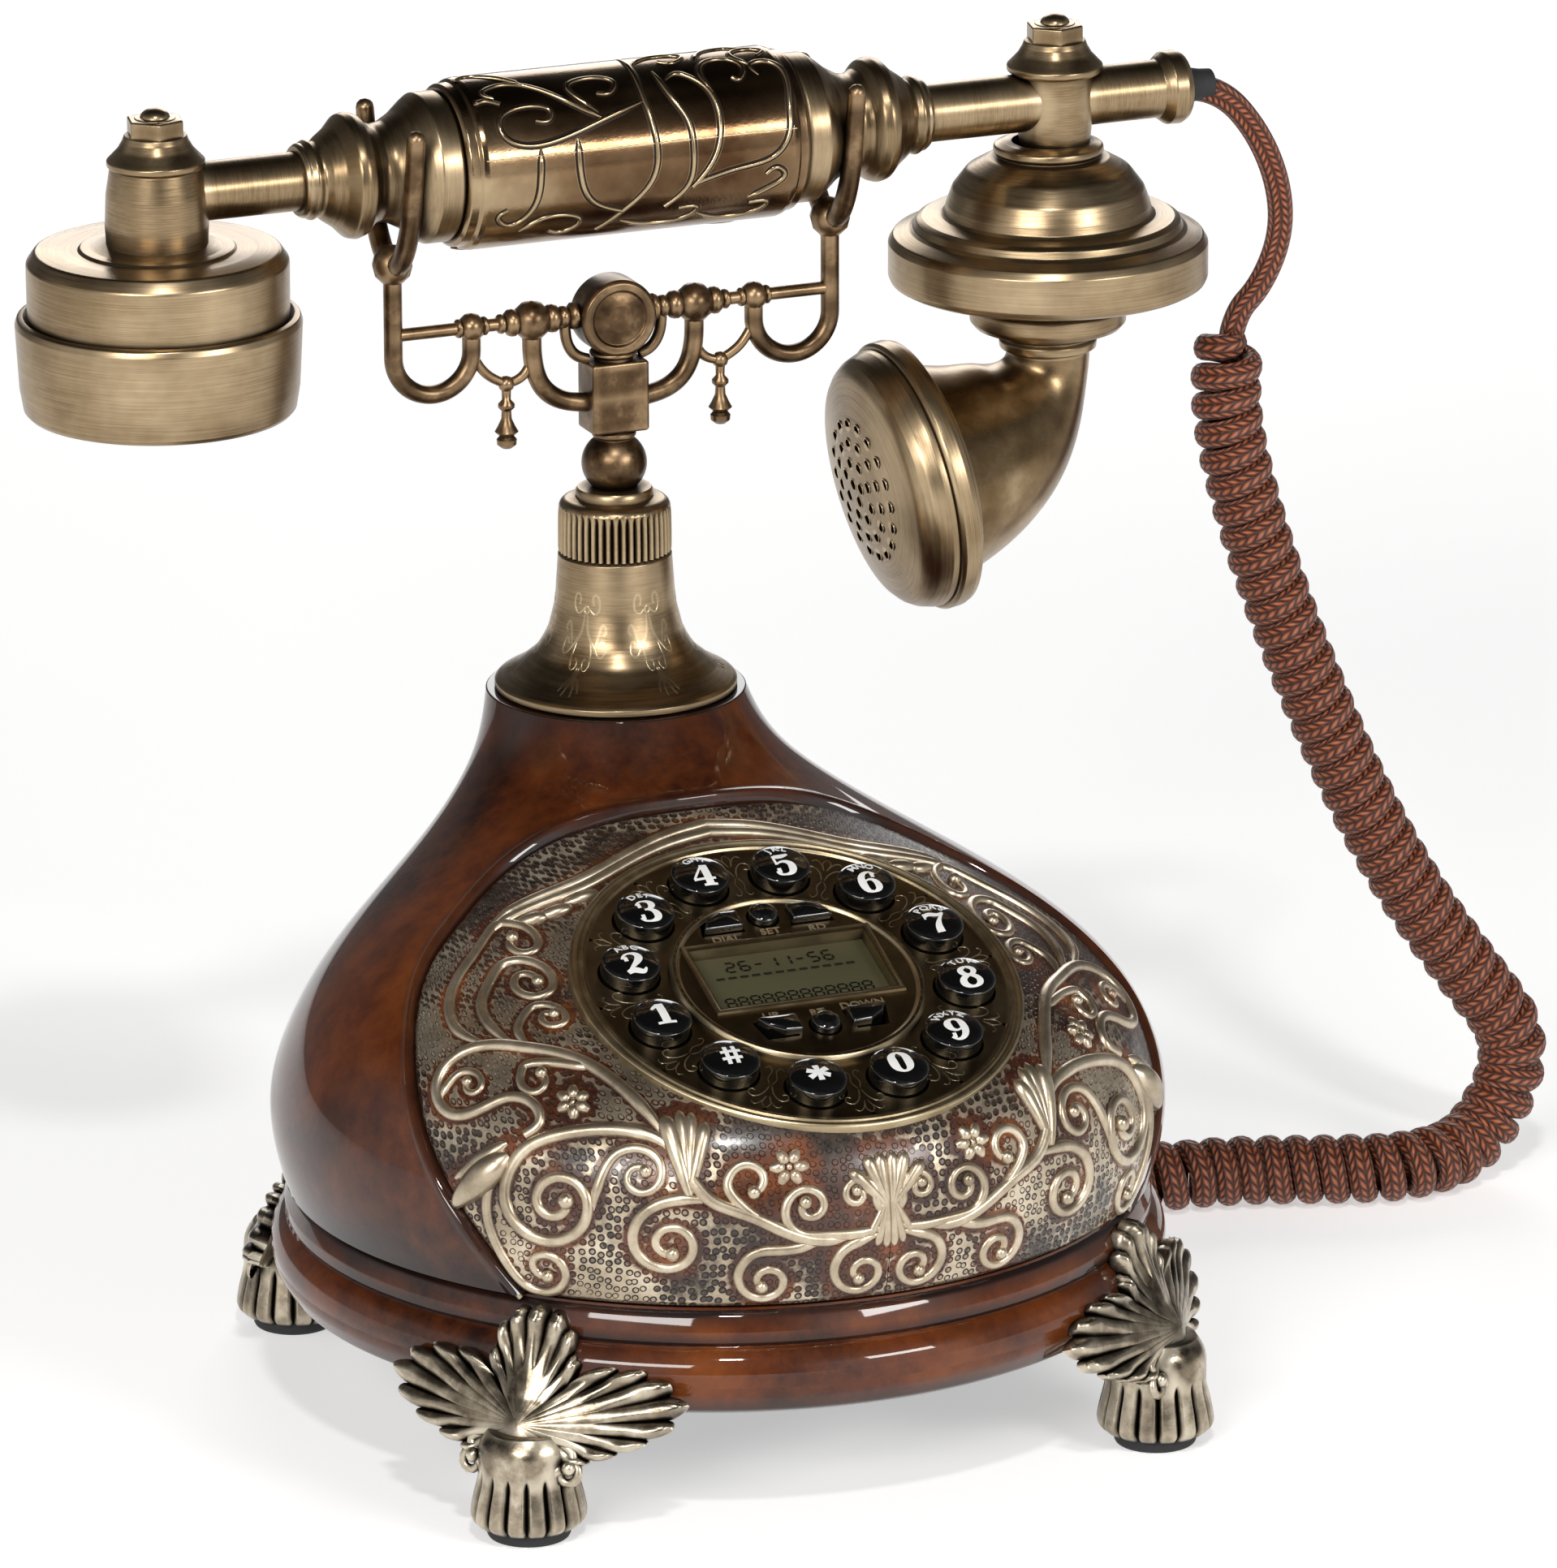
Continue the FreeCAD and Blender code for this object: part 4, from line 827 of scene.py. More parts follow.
def skin(inner, outer, rows, offset):
    """A sheet of the body's surface between two lines of (phi, z), moved outwards by offset.

    offset is a function of the millimetres from the first line and from the second."""
    shares = np.linspace(0, 1, rows) if np.isscalar(rows) else rows
    domain = inner[None] + (outer - inner)[None] * np.asarray(shares)[:, None, None]
    points = body_point(domain[..., 0], domain[..., 1])
    run = np.linalg.norm(np.diff(points, axis=0), axis=2)
    run = np.concatenate([np.zeros((1, points.shape[1])), np.cumsum(run, axis=0)])
    normals = body_normal(domain[..., 0], domain[..., 1])
    points = points + normals * offset(run, run[-1] - run)[..., None]
    return points, domain


def make_body():
    """The lacquered body with a rolled lip round the relief panel."""
    count = 420
    edge = panel_edge(count)
    far = np.concatenate([
        np.stack([np.full(100, -math.pi), np.linspace(BODY_LOW, BODY_HIGH, 100)], 1),
        np.stack([np.linspace(-math.pi, math.pi, 220), np.full(220, BODY_HIGH)], 1),
        np.stack([np.full(100, math.pi), np.linspace(BODY_HIGH, BODY_LOW, 100)], 1)])
    shares = np.concatenate([np.linspace(0, 0.06, 14), np.linspace(0.07, 1, 90)])

    def lip(run, left):
        near = np.clip(1 - run / 2.2, 0, 1)
        swell = 0.45 * np.exp(-((run - 2.5) / 0.9) ** 2)
        return swell - 3.2 * near ** 2
    points, domain = skin(edge, far, shares, lip)
    piece = mesh("body_shell_lacquered", points.reshape(-1, 3), grid_faces(len(shares), count), sharp=60)
    run = np.linalg.norm(np.diff(points, axis=0), axis=2)
    run = np.concatenate([np.zeros((1, count)), np.cumsum(run, axis=0)])
    z = domain[..., 1]
    # painted shade: darker along the lip round the relief panel, towards the top under the collar and along
    # the bottom edge by the plinth
    painted_shade = np.clip(1 - run / 9, 0, 1) * 0.95
    painted_shade = np.maximum(painted_shade, np.clip((z - 128) / 22, 0, 1) * 0.5)
    painted_shade = np.maximum(painted_shade, np.clip(1 - (z - BODY_LOW) / 9, 0, 1) ** 1.3 * 0.75)
    paint_points(piece, "painted_shade", painted_shade.ravel())
    stand(piece, 0, 0, 0)
    finish(piece, "base", "lacquer", ("body_shell",))
    top = lathe("body_neck", [(29.45, 146.7), (29.2, 147.25, 0.4), (25, 147.15), (25, 140)], 96)
    # painted shade over the whole neck ring under the collar
    paint_points(top, "painted_shade", 0.9)
    finish(stand(top, 0, NECK_Y, 0), "base", "lacquer")


def paint_points(piece, name, values):
    """Give each point a number that the materials read by name: one for all, or one each."""
    attribute = piece.data.attributes.new(name, "FLOAT", "POINT")
    values = np.broadcast_to(values, len(piece.data.vertices)).astype(np.float32)
    attribute.data.foreach_set("value", values)


def paint_chart(piece, name, places):
    """Give each point its place on a flat chart, for patterns that follow the surface."""
    corners = np.empty(len(piece.data.loops), np.int32)
    piece.data.loops.foreach_get("vertex_index", corners)
    piece.data.uv_layers.new(name=name).data.foreach_set("uv", places[corners].astype(np.float32).ravel())


def stroke(points, width, tip=0.55, root=1.0, ball=0.0, count=None):
    """One raised scroll on a chart: its line, half widths along it, and the ball at its curled end."""
    points = np.asarray(points, float)
    length = np.sum(np.linalg.norm(np.diff(points, axis=0), axis=1))
    count = count or max(8, int(length / 0.9))
    line = smooth_curve(points, count)
    share = np.linspace(0, 1, count)
    half = width * (root + (tip - root) * share) * np.minimum(1, 0.35 + share * 6)
    return line, half, ball


def curl(stem, centre, radius, start, turns, hand, width=1.15, end=0.24, stretch=1.0):
    """A stem that winds into a scroll: hand +1 winds anticlockwise on the chart, start is in degrees."""
    spin = np.linspace(0, TAU * turns, int(10 * turns) + 4)
    reach = radius * np.exp(np.log(end) * spin / spin[-1])
    angle = math.radians(start) + hand * spin
    wound = np.stack([centre[0] + stretch * reach * np.cos(angle), centre[1] + reach * np.sin(angle)], 1)
    return stroke(np.concatenate([np.asarray(stem, float), wound]), width, tip=0.7, ball=width * 1.15)


def raise_strokes(name, strokes, surface, height=0.8, sides=7, sink=0.35, mirror=True):
    """Half-round strips laid on a surface, each with its ball, as one mesh."""
    points, faces = [], []
    for line, half, ball in strokes:
        for sign in ((1, -1) if mirror else (1,)):
            spots, normals = surface(sign * line[:, 0], line[:, 1])
            ways = np.gradient(spots, axis=0)
            ways /= np.linalg.norm(ways, axis=1)[:, None]
            across = np.cross(normals, ways)
            first = len(points)
            for k in range(sides + 1):
                a = math.pi * k / sides
                ring = (spots + across * (half * math.cos(a))[:, None]
                        + normals * (half * height * math.sin(a) ** 0.8 - sink)[:, None])
                points.extend(ring)
            count = len(line)
            faces += [tuple(first + i for i in f) for f in grid_faces(sides + 1, count)]
            faces.append(tuple(first + k * count for k in range(sides + 1)))
            faces.append(tuple(first + k * count + count - 1 for k in range(sides + 1))[::-1])
            if ball:
                add_ball(points, faces, spots[-1] + normals[-1] * ball * 0.25, ball)
    return mesh(name, points, faces, sharp=50)


def add_ball(points, faces, middle, radius, squeeze=None):
    """A small round bead added to a mesh being built."""
    rows, columns = 6, 10
    first = len(points)
    for r in range(rows + 1):
        a = math.pi * r / rows
        for c in range(columns):
            b = TAU * c / columns
            offset = np.array([math.sin(a) * math.cos(b), math.sin(a) * math.sin(b), math.cos(a)]) * radius
            points.append(middle + (offset if squeeze is None else squeeze @ offset))
    faces += [tuple(first + i for i in f) for f in grid_faces(rows + 1, columns, close_columns=True)]


def petal(root, tip, width, point=0.15):
    """A leaf or petal as a stroke that swells and closes to a point."""
    root, tip = np.asarray(root, float), np.asarray(tip, float)
    share = np.linspace(0, 1, 12)
    line = root + (tip - root) * share[:, None]
    half = width * (point + (1 - point) * np.sin(math.pi * share ** 0.8) ** 0.8)
    return line, half, 0.0


def lobe(root, tip, width, point=0.3):
    """A leaf finger as a stroke that widens from its root to a round tip."""
    root, tip = np.asarray(root, float), np.asarray(tip, float)
    share = np.linspace(0, 1, 18)
    line = root + (tip - root) * share[:, None]
    half = width * (point + (1 - point) * np.clip(share / 0.75, 0, 1) ** 0.8)
    half *= np.sqrt(np.clip(1 - np.clip((share - 0.78) / 0.22, 0, 1) ** 2, 0.03, 1))
    return line, half, 0.0


def flower(centre, radius, turn=0.0):
    """Six petals round a button."""
    centre = np.array(centre)
    strokes = []
    for k in range(6):
        angle = turn + TAU * k / 6
        reach = radius * np.array([math.cos(angle), math.sin(angle)])
        strokes.append(petal(centre + reach * 0.2, centre + reach, radius * 0.27, 0.5))
    strokes.append(petal(centre - (0.5, 0), centre + (0.5, 0), 0.8, 0.9))
    return strokes


DIMPLE = 2.1


def relief_strokes():
    """Half of the relief, from the palmette in the middle outwards; the other half is its mirror image."""
    strokes = []
    # palmette
    for tip, width in (((1.5, 35.0), 1.25), ((4.6, 34.6), 1.35), ((8.6, 31.8), 1.35)):
        strokes.append(lobe((0.7, 23.0), tip, width, 0.5))
    for low in ((0.9, 12.8), (3.0, 13.4), (5.0, 15.6)):
        strokes.append(lobe((0.6, 24.5), low, 0.85, 0.6))
    # low row
    strokes.append(curl([(2.0, 21.0), (3.0, 24.5)], (7.2, 26.0), 4.2, 170, 1.25, -1, 1.0))
    strokes.append(curl([(2.5, 16.5), (8.5, 14.6)], (6.0, 7.6), 7.2, 50, 1.3, -1, 1.1))
    strokes.append(curl([(1.5, 18.0), (7.0, 17.2), (13.0, 17.4)], (17.6, 24.2), 6.4, -75, 1.35, 1, 1.15))
    strokes.append(curl([(14.0, 16.6), (22.0, 14.6)], (26.6, 7.2), 7.4, 75, 1.35, -1, 1.15))
    # the long stem up to the acanthus leaf, and its side scrolls
    strokes.append(stroke([(9.0, 16.4), (16.0, 16.4), (23.0, 19.0), (30.5, 23.0), (38.0, 26.2),
                           (42.5, 31.0)], 1.45,
                          tip=0.9, root=0.8))
    strokes.append(curl([(24.5, 19.6), (30.0, 23.4)], (30.3, 30.6), 4.8, -20, 0.75, 1, 1.2, end=0.55))
    strokes.append(curl([(38.5, 26.3), (44.5, 26.6)], (46.8, 16.4), 9.4, 75, 1.5, -1, 1.25))
    for tip, width in (((49.0, 46.0), 2.3), ((45.4, 47.4), 1.7), ((42.6, 47.0), 1.6), ((39.4, 44.6), 1.9)):
        strokes.append(lobe((43.0, 27.5), tip, width * 0.8, 0.45))
    # big scroll on the flank with its two children
    strokes.append(curl([(45.0, 35.0), (49.5, 39.6), (57.0, 41.6), (66.0, 41.0)], (71.6, 24.2), 14.0, 62,
                        1.7, -1, 1.45,
                        end=0.18))
    strokes.append(curl([(63.4, 23.0), (62.6, 29.0)], (53.8, 31.4), 7.4, 30, 1.3, 1, 1.15))
    strokes.append(curl([(85.0, 33.0), (87.4, 24.0), (86.0, 14.5)], (74.2, 7.8), 7.6, -25, 1.25, -1, 1.15))
    strokes.append(petal((84.0, 33.0), (95.5, 19.5), 3.0, 0.3))
    strokes.append(petal((85.0, 35.5), (96.0, 25.5), 1.6, 0.3))
    # upper stem: from the leaf up the flank, round and back in a wave
    strokes.append(stroke([(46.5, 37.5), (52.0, 45.5), (61.0, 54.5), (71.5, 60.2), (84.0, 61.2),
                           (97.0, 59.2),
                           (106.0, 52.0), (107.0, 43.5), (101.0, 39.2), (93.5, 42.0), (86.5, 46.4),
                           (80.0, 45.4),
                           (78.0, 41.4), (81.0, 38.0)], 1.4, tip=0.75))
    strokes.append(curl([(105.5, 41.8), (104.0, 46.5)], (97.8, 47.2), 4.6, 30, 1.0, 1, 0.95, stretch=1.1))
    strokes.append(curl([(66.0, 57.6), (77.0, 57.8), (84.5, 55.6)], (81.0, 52.0), 4.2, 20, 0.7, -1, 1.1,
                        end=0.6))
    # shoulder scrolls
    strokes.append(curl([(88.0, 61.0), (96.0, 65.0), (102.0, 72.0)], (88.0, 84.0), 10.5, -10, 1.5, 1, 1.2,
                        stretch=1.3))
    strokes.append(curl([(84.0, 61.5), (88.5, 66.5)], (79.4, 72.4), 5.8, 0, 1.35, 1, 1.0, stretch=1.35))
    strokes.append(curl([(96.0, 60.0), (106.5, 61.5), (112.5, 68.0), (114.0, 78.0), (111.0, 90.0)],
                        (94.5, 98.5), 9.0, 30, 1.0, 1, 1.2, stretch=1.5))
    for low, high in ((0.0, 0.0), (3.4, 3.0)):
        strokes.append(stroke([(110.0, 100.0 - low), (103.0, 109.0 - low), (88.0, 119.5 - low),
                               (70.0, 128.5 - low),
                               (48.0, 139.0 - high), (24.0, 146.5 - high),
                               (0.0, 149.5 - high)], 1.2, tip=1.0))
    for root, tip in (((84.0, 112.0), (98.0, 106.0)), ((74.0, 117.0), (90.0, 110.0)), ((62.0, 124.0),
                                                                                       (78.0, 118.0))):
        strokes.append(petal(root, tip, 1.5, 0.3))
    strokes += flower((21.6, 33.4), 4.3) + flower((70.5, 47.6), 4.4, turn=0.4)
    return strokes


def make_relief():
    """The hammered ground between the dial and the lip, and the scrolls raised on it."""
    count, rows = 900, 110
    angles = np.linspace(-math.pi / 2, math.tau - math.pi / 2, count)[::-1]
    inner = dial_edge(angles, DIAL_R - 1.0)
    edge = panel_edge(count)
    bottom = np.stack([np.linspace(edge[-1, 0], edge[0, 0], 400), np.full(400, BODY_LOW)], 1)
    loop = np.concatenate([bottom[200:], edge[1:], bottom[:201]])
    # both lines are walked by the same angle round the dial's middle, seen on the chart
    def turn_of(line):
        return np.unwrap(np.arctan2((line[:, 1] - 108) / 19, -line[:, 0] / 0.72))
    mine, theirs = turn_of(inner), turn_of(loop)
    if (mine[-1] - mine[0]) * (theirs[-1] - theirs[0]) < 0:
        inner, mine = inner[::-1], turn_of(inner[::-1])
    mine += round((theirs[0] - mine[0]) / TAU) * TAU
    order = np.argsort(theirs)
    outer = np.stack([np.interp(mine, theirs[order], loop[order, k]) for k in range(2)], 1)
    points, domain = skin(inner, outer, rows, lambda run, left: -0.9 - 0.9 * np.clip(1 - left / 2, 0,
                                                                                     1) ** 2)
    ground = mesh("relief_ground", points.reshape(-1, 3), grid_faces(rows, count), sharp=80)
    phi, z = domain[..., 0].ravel(), domain[..., 1].ravel()
    radius = (BACK_Y(z) - FRONT_Y(z)) / 2
    paint_chart(ground, "chart", np.stack([phi * radius, np.interp(z, LEVELS, CLIMB)], 1) / DIMPLE)
    strokes = [(line, half * 1.22, ball * 1.15) for line, half, ball in relief_strokes()]
    lines = np.concatenate([chart(sign * line[:, 0], line[:, 1])[0] for line, half, ball in strokes
                            for sign in (1, -1)])
    stems = kdtree.KDTree(len(lines))
    for index, spot in enumerate(lines):
        stems.insert(spot, index)
    stems.balance()
    away = np.array([stems.find(p)[2] for p in body_point(phi, z)])
    paint_points(ground, "glaze", np.clip(1 - (away - 1.5) / 3.2, 0, 1))
    darker = 0.16 * np.clip((z - 90) / 35, 0, 1)
    paint_points(ground, "high", 0.55 - darker - 0.45 * np.clip(1 - (away - 1.5) / 1.2, 0, 1))
    paint_points(ground, "hammered", 1.0)
    stand(ground, 0, 0, 0)
    finish(ground, "base", "relief", ("front_panel",))
    raised = raise_strokes("relief_scrolls", strokes, lambda p, q: lower(chart(p, q), 0.9), height=1.05,
                           sides=9)
    paint_points(raised, "high", 0.95)
    paint_points(raised, "glaze", 1.0)
    finish(stand(raised, 0, 0, 0), "base", "relief")
    rim = panel_edge(300)
    spots, ways = body_point(rim[:, 0], rim[:, 1]), body_normal(rim[:, 0], rim[:, 1])
    inward = np.cross(ways, np.gradient(spots, axis=0))
    inward /= np.linalg.norm(inward, axis=1)[:, None]
    points, faces = tube_mesh(spots + inward * 1.9 - ways * 1.0, circle(0.75, 10))
    bead = mesh("relief_bead", points, faces)
    paint_points(bead, "high", 0.55)
    paint_points(bead, "glaze", 1.0)
    finish(stand(bead, 0, 0, 0), "base", "relief")


def lower(surface, depth):
    """The same surface, sunk by a depth."""
    points, normals = surface
    return points - normals * depth, normals


# ---- dial ----------------------------------------------------------------------------------------

KEY_RING = 37.3
DIGITS = ("5", "6", "7", "8", "9", "0", "star", "hash", "1", "2", "3", "4")
LETTERS = {"2": "ABC", "3": "DEF", "4": "GHI", "5": "JKL", "6": "MNO", "7": "PQRS", "8": "TUV", "9": "WXYZ"}
SMALL_KEYS = (("function_key_a", -10.6, 20.8, "DIAL"), ("function_key_b", 0, 21.6, "SET"),
              ("function_key_c", 10.6, 20.8, "RD"), ("function_key_d", -10.6, -16.0, "UP"),
              ("function_key_e", 0, -16.8, "RT"), ("function_key_f", 10.6, -16.0, "DOWN"))


def on_dial(u=0.0, v=0.0, w=0.0):
    """The place of something on the dial plate: u right, v up the slope, w out of it."""
    return (Matrix.Translation(at(0, DIAL_Y, DIAL_Z)) @ Matrix.Rotation(DIAL_TILT, 4, "X")
            @ Matrix.Translation(Vector((u, v, w)) * MM))


def lettering(name, text, size, bold=0.0, wide=1.0):
    """A word as a thin raised mesh, centred on its own origin."""
    data = bpy.data.curves.new(name, "FONT")
    data.body = text
    data.size = size * MM
    data.align_x = "CENTER"
    data.align_y = "CENTER"
    data.extrude = 0.12 * MM
    data.offset = bold * MM
    data.resolution_u = 6
    maker = bpy.data.objects.new(name, data)
    bpy.context.collection.objects.link(maker)
    bpy.context.view_layer.update()
    made = bpy.data.meshes.new_from_object(maker)
    bpy.data.objects.remove(maker)
    bpy.data.curves.remove(data)
    made.transform(Matrix.Diagonal((wide, 1, 1, 1)))
    piece = bpy.data.objects.new(name, made)
    bpy.context.collection.objects.link(piece)
    return piece


def drape(piece, dome):
    """Bend a flat word onto a domed top."""
    for vertex in piece.data.vertices:
        vertex.co.z += dome(math.hypot(vertex.co.x, vertex.co.y) / MM) * MM


# Each figure is a few strokes of (across, up, half width) in a box 1 wide and 1.4 high:
# thick stems, thin hairlines.
FIGURES = {
    "1": (((0.5, 0.04, 0.18), (0.5, 1.38, 0.18)), ((0.1, 0.06, 0.06), (0.9, 0.06, 0.06)),
          ((0.08, 1.02, 0.05), (0.3, 1.2, 0.09), (0.48, 1.33, 0.06))),
    "2": (((0.13, 0.98, 0.13), (0.3, 0.98, 0.13)), ((0.09, 1.0, 0.08), (0.22, 1.25, 0.06),
                                                    (0.5, 1.34, 0.06),
          (0.76, 1.2, 0.15), (0.78, 0.96, 0.17), (0.56, 0.64, 0.12), (0.28, 0.34, 0.07), (0.1, 0.12, 0.06)),
          ((0.08, 0.13, 0.1), (0.4, 0.22, 0.14), (0.74, 0.1, 0.11), (0.93, 0.32, 0.04))),
    "3": (((0.13, 1.08, 0.13), (0.28, 1.08, 0.13)), ((0.1, 1.12, 0.06), (0.25, 1.32, 0.05),
                                                     (0.5, 1.36, 0.05),
          (0.73, 1.2, 0.14), (0.72, 0.96, 0.14), (0.5, 0.77, 0.05), (0.36, 0.76, 0.05)),
          ((0.42, 0.77, 0.05), (0.64, 0.7, 0.09), (0.82, 0.43, 0.17), (0.74, 0.15, 0.13),
           (0.45, 0.04, 0.05),
           (0.18, 0.12, 0.05), (0.08, 0.3, 0.07)), ((0.1, 0.32, 0.13), (0.26, 0.32, 0.13))),
    "4": (((0.66, 0.05, 0.17), (0.66, 1.36, 0.17)), ((0.6, 1.34, 0.05), (0.32, 0.9, 0.05),
                                                     (0.05, 0.46, 0.05)),
          ((0.02, 0.42, 0.06), (0.98, 0.42, 0.06)), ((0.36, 0.05, 0.055), (0.96, 0.05, 0.055))),
    "5": (((0.2, 1.27, 0.1), (0.5, 1.24, 0.12), (0.85, 1.36, 0.05)), ((0.17, 1.34, 0.05),
                                                                      (0.17, 0.7, 0.05)),
          ((0.17, 0.74, 0.05), (0.45, 0.86, 0.06), (0.74, 0.72, 0.14), (0.8, 0.42, 0.18),
           (0.68, 0.14, 0.12),
           (0.42, 0.04, 0.05), (0.16, 0.12, 0.06), (0.08, 0.3, 0.06)), ((0.1, 0.32, 0.13),
                                                                        (0.27, 0.32, 0.13))),
    "6": (((0.66, 1.1, 0.13), (0.82, 1.1, 0.13)), ((0.87, 1.16, 0.06), (0.68, 1.35, 0.05),
                                                   (0.42, 1.28, 0.1),
          (0.22, 0.98, 0.15), (0.18, 0.56, 0.17), (0.28, 0.16, 0.12), (0.52, 0.04, 0.05),
          (0.76, 0.18, 0.13),
          (0.82, 0.44, 0.16), (0.7, 0.74, 0.1), (0.5, 0.82, 0.05), (0.28, 0.68, 0.05))),
    "7": (((0.06, 1.2, 0.1), (0.32, 1.3, 0.12), (0.65, 1.2, 0.1), (0.94, 1.36, 0.05)),
          ((0.07, 1.38, 0.04), (0.07, 0.98, 0.04)), ((0.92, 1.3, 0.05), (0.66, 0.88, 0.08),
                                                     (0.5, 0.45, 0.15),
          (0.5, 0.06, 0.18))),
    "8": (((0.5, 1.36, 0.06), (0.75, 1.2, 0.12), (0.75, 0.95, 0.12), (0.5, 0.76, 0.08), (0.25, 0.95, 0.13),
           (0.25, 1.2, 0.12), (0.5, 1.36, 0.06)), ((0.5, 0.78, 0.08), (0.8, 0.58, 0.13), (0.84, 0.28, 0.14),
          (0.5, 0.04, 0.06), (0.16, 0.25, 0.15), (0.19, 0.55, 0.14), (0.5, 0.78, 0.08))),
    "0": (((0.5, 1.36, 0.05), (0.77, 1.13, 0.15), (0.83, 0.7, 0.19), (0.77, 0.27, 0.15), (0.5, 0.04, 0.05),
           (0.23, 0.27, 0.15), (0.17, 0.7, 0.19), (0.23, 1.13, 0.15), (0.5, 1.36, 0.05)),),
    "hash": (((0.28, 0.1, 0.09), (0.36, 1.3, 0.09)), ((0.64, 0.1, 0.09), (0.72, 1.3, 0.09)),
             ((0.04, 0.48, 0.08), (0.92, 0.48, 0.08)), ((0.08, 0.94, 0.08), (0.96, 0.94, 0.08))),
}
FIGURES["9"] = tuple(tuple((1 - x, 1.4 - y, half) for x, y, half in line) for line in FIGURES["6"])
FIGURES["star"] = tuple(((0.5, 0.7, 0.05), (0.5 + 0.25 * math.sin(a), 0.7 + 0.25 * math.cos(a), 0.11),
                         (0.5 + 0.52 * math.sin(a), 0.7 + 0.52 * math.cos(a), 0.13))
                        for a in np.radians([0, 60, 120, 180, 240, 300]))
FIGURE_W, FIGURE_H = 5.3, 6.7


def serif_figure(name, sign, shift):
    """A printed numeral: flat ribbons of changing width, draped on the key's crown."""
    points, faces = [], []
    for line in FIGURES[sign]:
        line = smooth_curve(line, 8 if len(line) == 2 else 26) - (0.5, 0.7, 0)
        flat = line[:, :2] * (FIGURE_W, FIGURE_H / 1.4)
        ways = np.gradient(flat, axis=0)
        across = np.stack([-ways[:, 1], ways[:, 0]], 1) / np.linalg.norm(ways, axis=1)[:, None]
        half = line[:, 2:] * FIGURE_W
        first = len(points)
        for side, high in ((1, -0.05), (1, 0.05), (0, 0.06), (-1, 0.05), (-1, -0.05)):
            for x, y in flat + across * half * side + (0, shift):
                points.append((x, y, key_dome(math.hypot(x, y)) + high))
        faces += [tuple(first + i for i in f) for f in grid_faces(5, len(line))]
    return mesh(name, points, faces, sharp=40)


KEY_R, KEY_TOP, KEY_CROWN = 6.6, 4.05, 0.85


def key_dome(r):
    """Height of a digit key's top above the plate at a distance from its middle."""
    sphere = ((KEY_R - 0.8) ** 2 + KEY_CROWN ** 2) / (2 * KEY_CROWN)
    return KEY_TOP + KEY_CROWN - sphere + math.sqrt(max(0.0, sphere ** 2 - r ** 2))


def key_place(index):
    """The place of a digit key in the ring, counted clockwise from the one right of the top."""
    angle = math.radians(75 - 30 * index)
    return on_dial(KEY_RING * math.cos(angle), KEY_RING * math.sin(angle))


def make_digit_keys():
    """Twelve domed keys, each with its printed figure and its letters."""
    for index, digit in enumerate(DIGITS):
        place = key_place(index)
        node = "key_" + digit
        top = [(r, key_dome(r), 0) for r in (5.6, 5.0, 4.2, 3.4, 2.5, 1.5, 0.7, 0)]
        cap = lathe("cap_" + digit, [(0, -2.9), (4, -2.9, 0.2), (4, -1.0, 0.2), (6.5, -1.0, 0.3),
                                     (6.6, 1.2, 0), (6.5, 3.7, 0.35), (5.9, 4.0, 0.2)] + top, 64)
        cap.matrix_world = place
        finish(cap, node, "key_black", (node,))
        figure = serif_figure("figure_" + digit, digit, -1.4 if digit in LETTERS else 0)
        figure.matrix_world = place
        finish(figure, node, "key_white")
        word = LETTERS.get(digit, "")
        for spot, letter in enumerate(word):
            lean = (spot - (len(word) - 1) / 2) * -0.46
            piece = lettering("letter_%s_%d" % (digit, spot), letter, 2.6, bold=0.03)
            turn = Matrix.Rotation(lean, 4, "Z") @ Matrix.Translation(Vector((0, 4.3, 0)) * MM)
            piece.data.transform(turn)
            drape(piece, lambda r: key_dome(r) - 0.02)
            piece.matrix_world = place
            finish(piece, node, "key_white")


def prism(name, outline, low, high, soft=0.7):
    """A cap with rounded upper edges over an outline of (x, y) points."""
    outline = np.asarray(outline, float)
    middle = outline.mean(0)
    points, count = [], len(outline)
    levels = [(low, 0.0)]
    for a in np.linspace(0, math.pi / 2, 5):
        levels.append((high - soft + soft * math.sin(a), soft * (1 - math.cos(a))))
    for z, inset in levels:
        for x, y in outline:
            way = np.array([x, y]) - middle
            spot = middle + way * (1 - inset / max(np.linalg.norm(way), 1e-6))
            points.append((spot[0], spot[1], z))
    points.append((middle[0], middle[1], high + 0.12))
    faces = grid_faces(len(levels), count, close_columns=True)
    top = (len(levels) - 1) * count
    faces += [(top + k, top + (k + 1) % count, len(points) - 1) for k in range(count)]
    faces.append(tuple(range(count))[::-1])
    return mesh(name, points, faces, sharp=50)


def rounded(corners, radius):
    """A polygon of (x, y) corners with its corners rounded."""
    return [tuple(p) for p in softened([(x, y, radius) for x, y in corners], closed=True)]


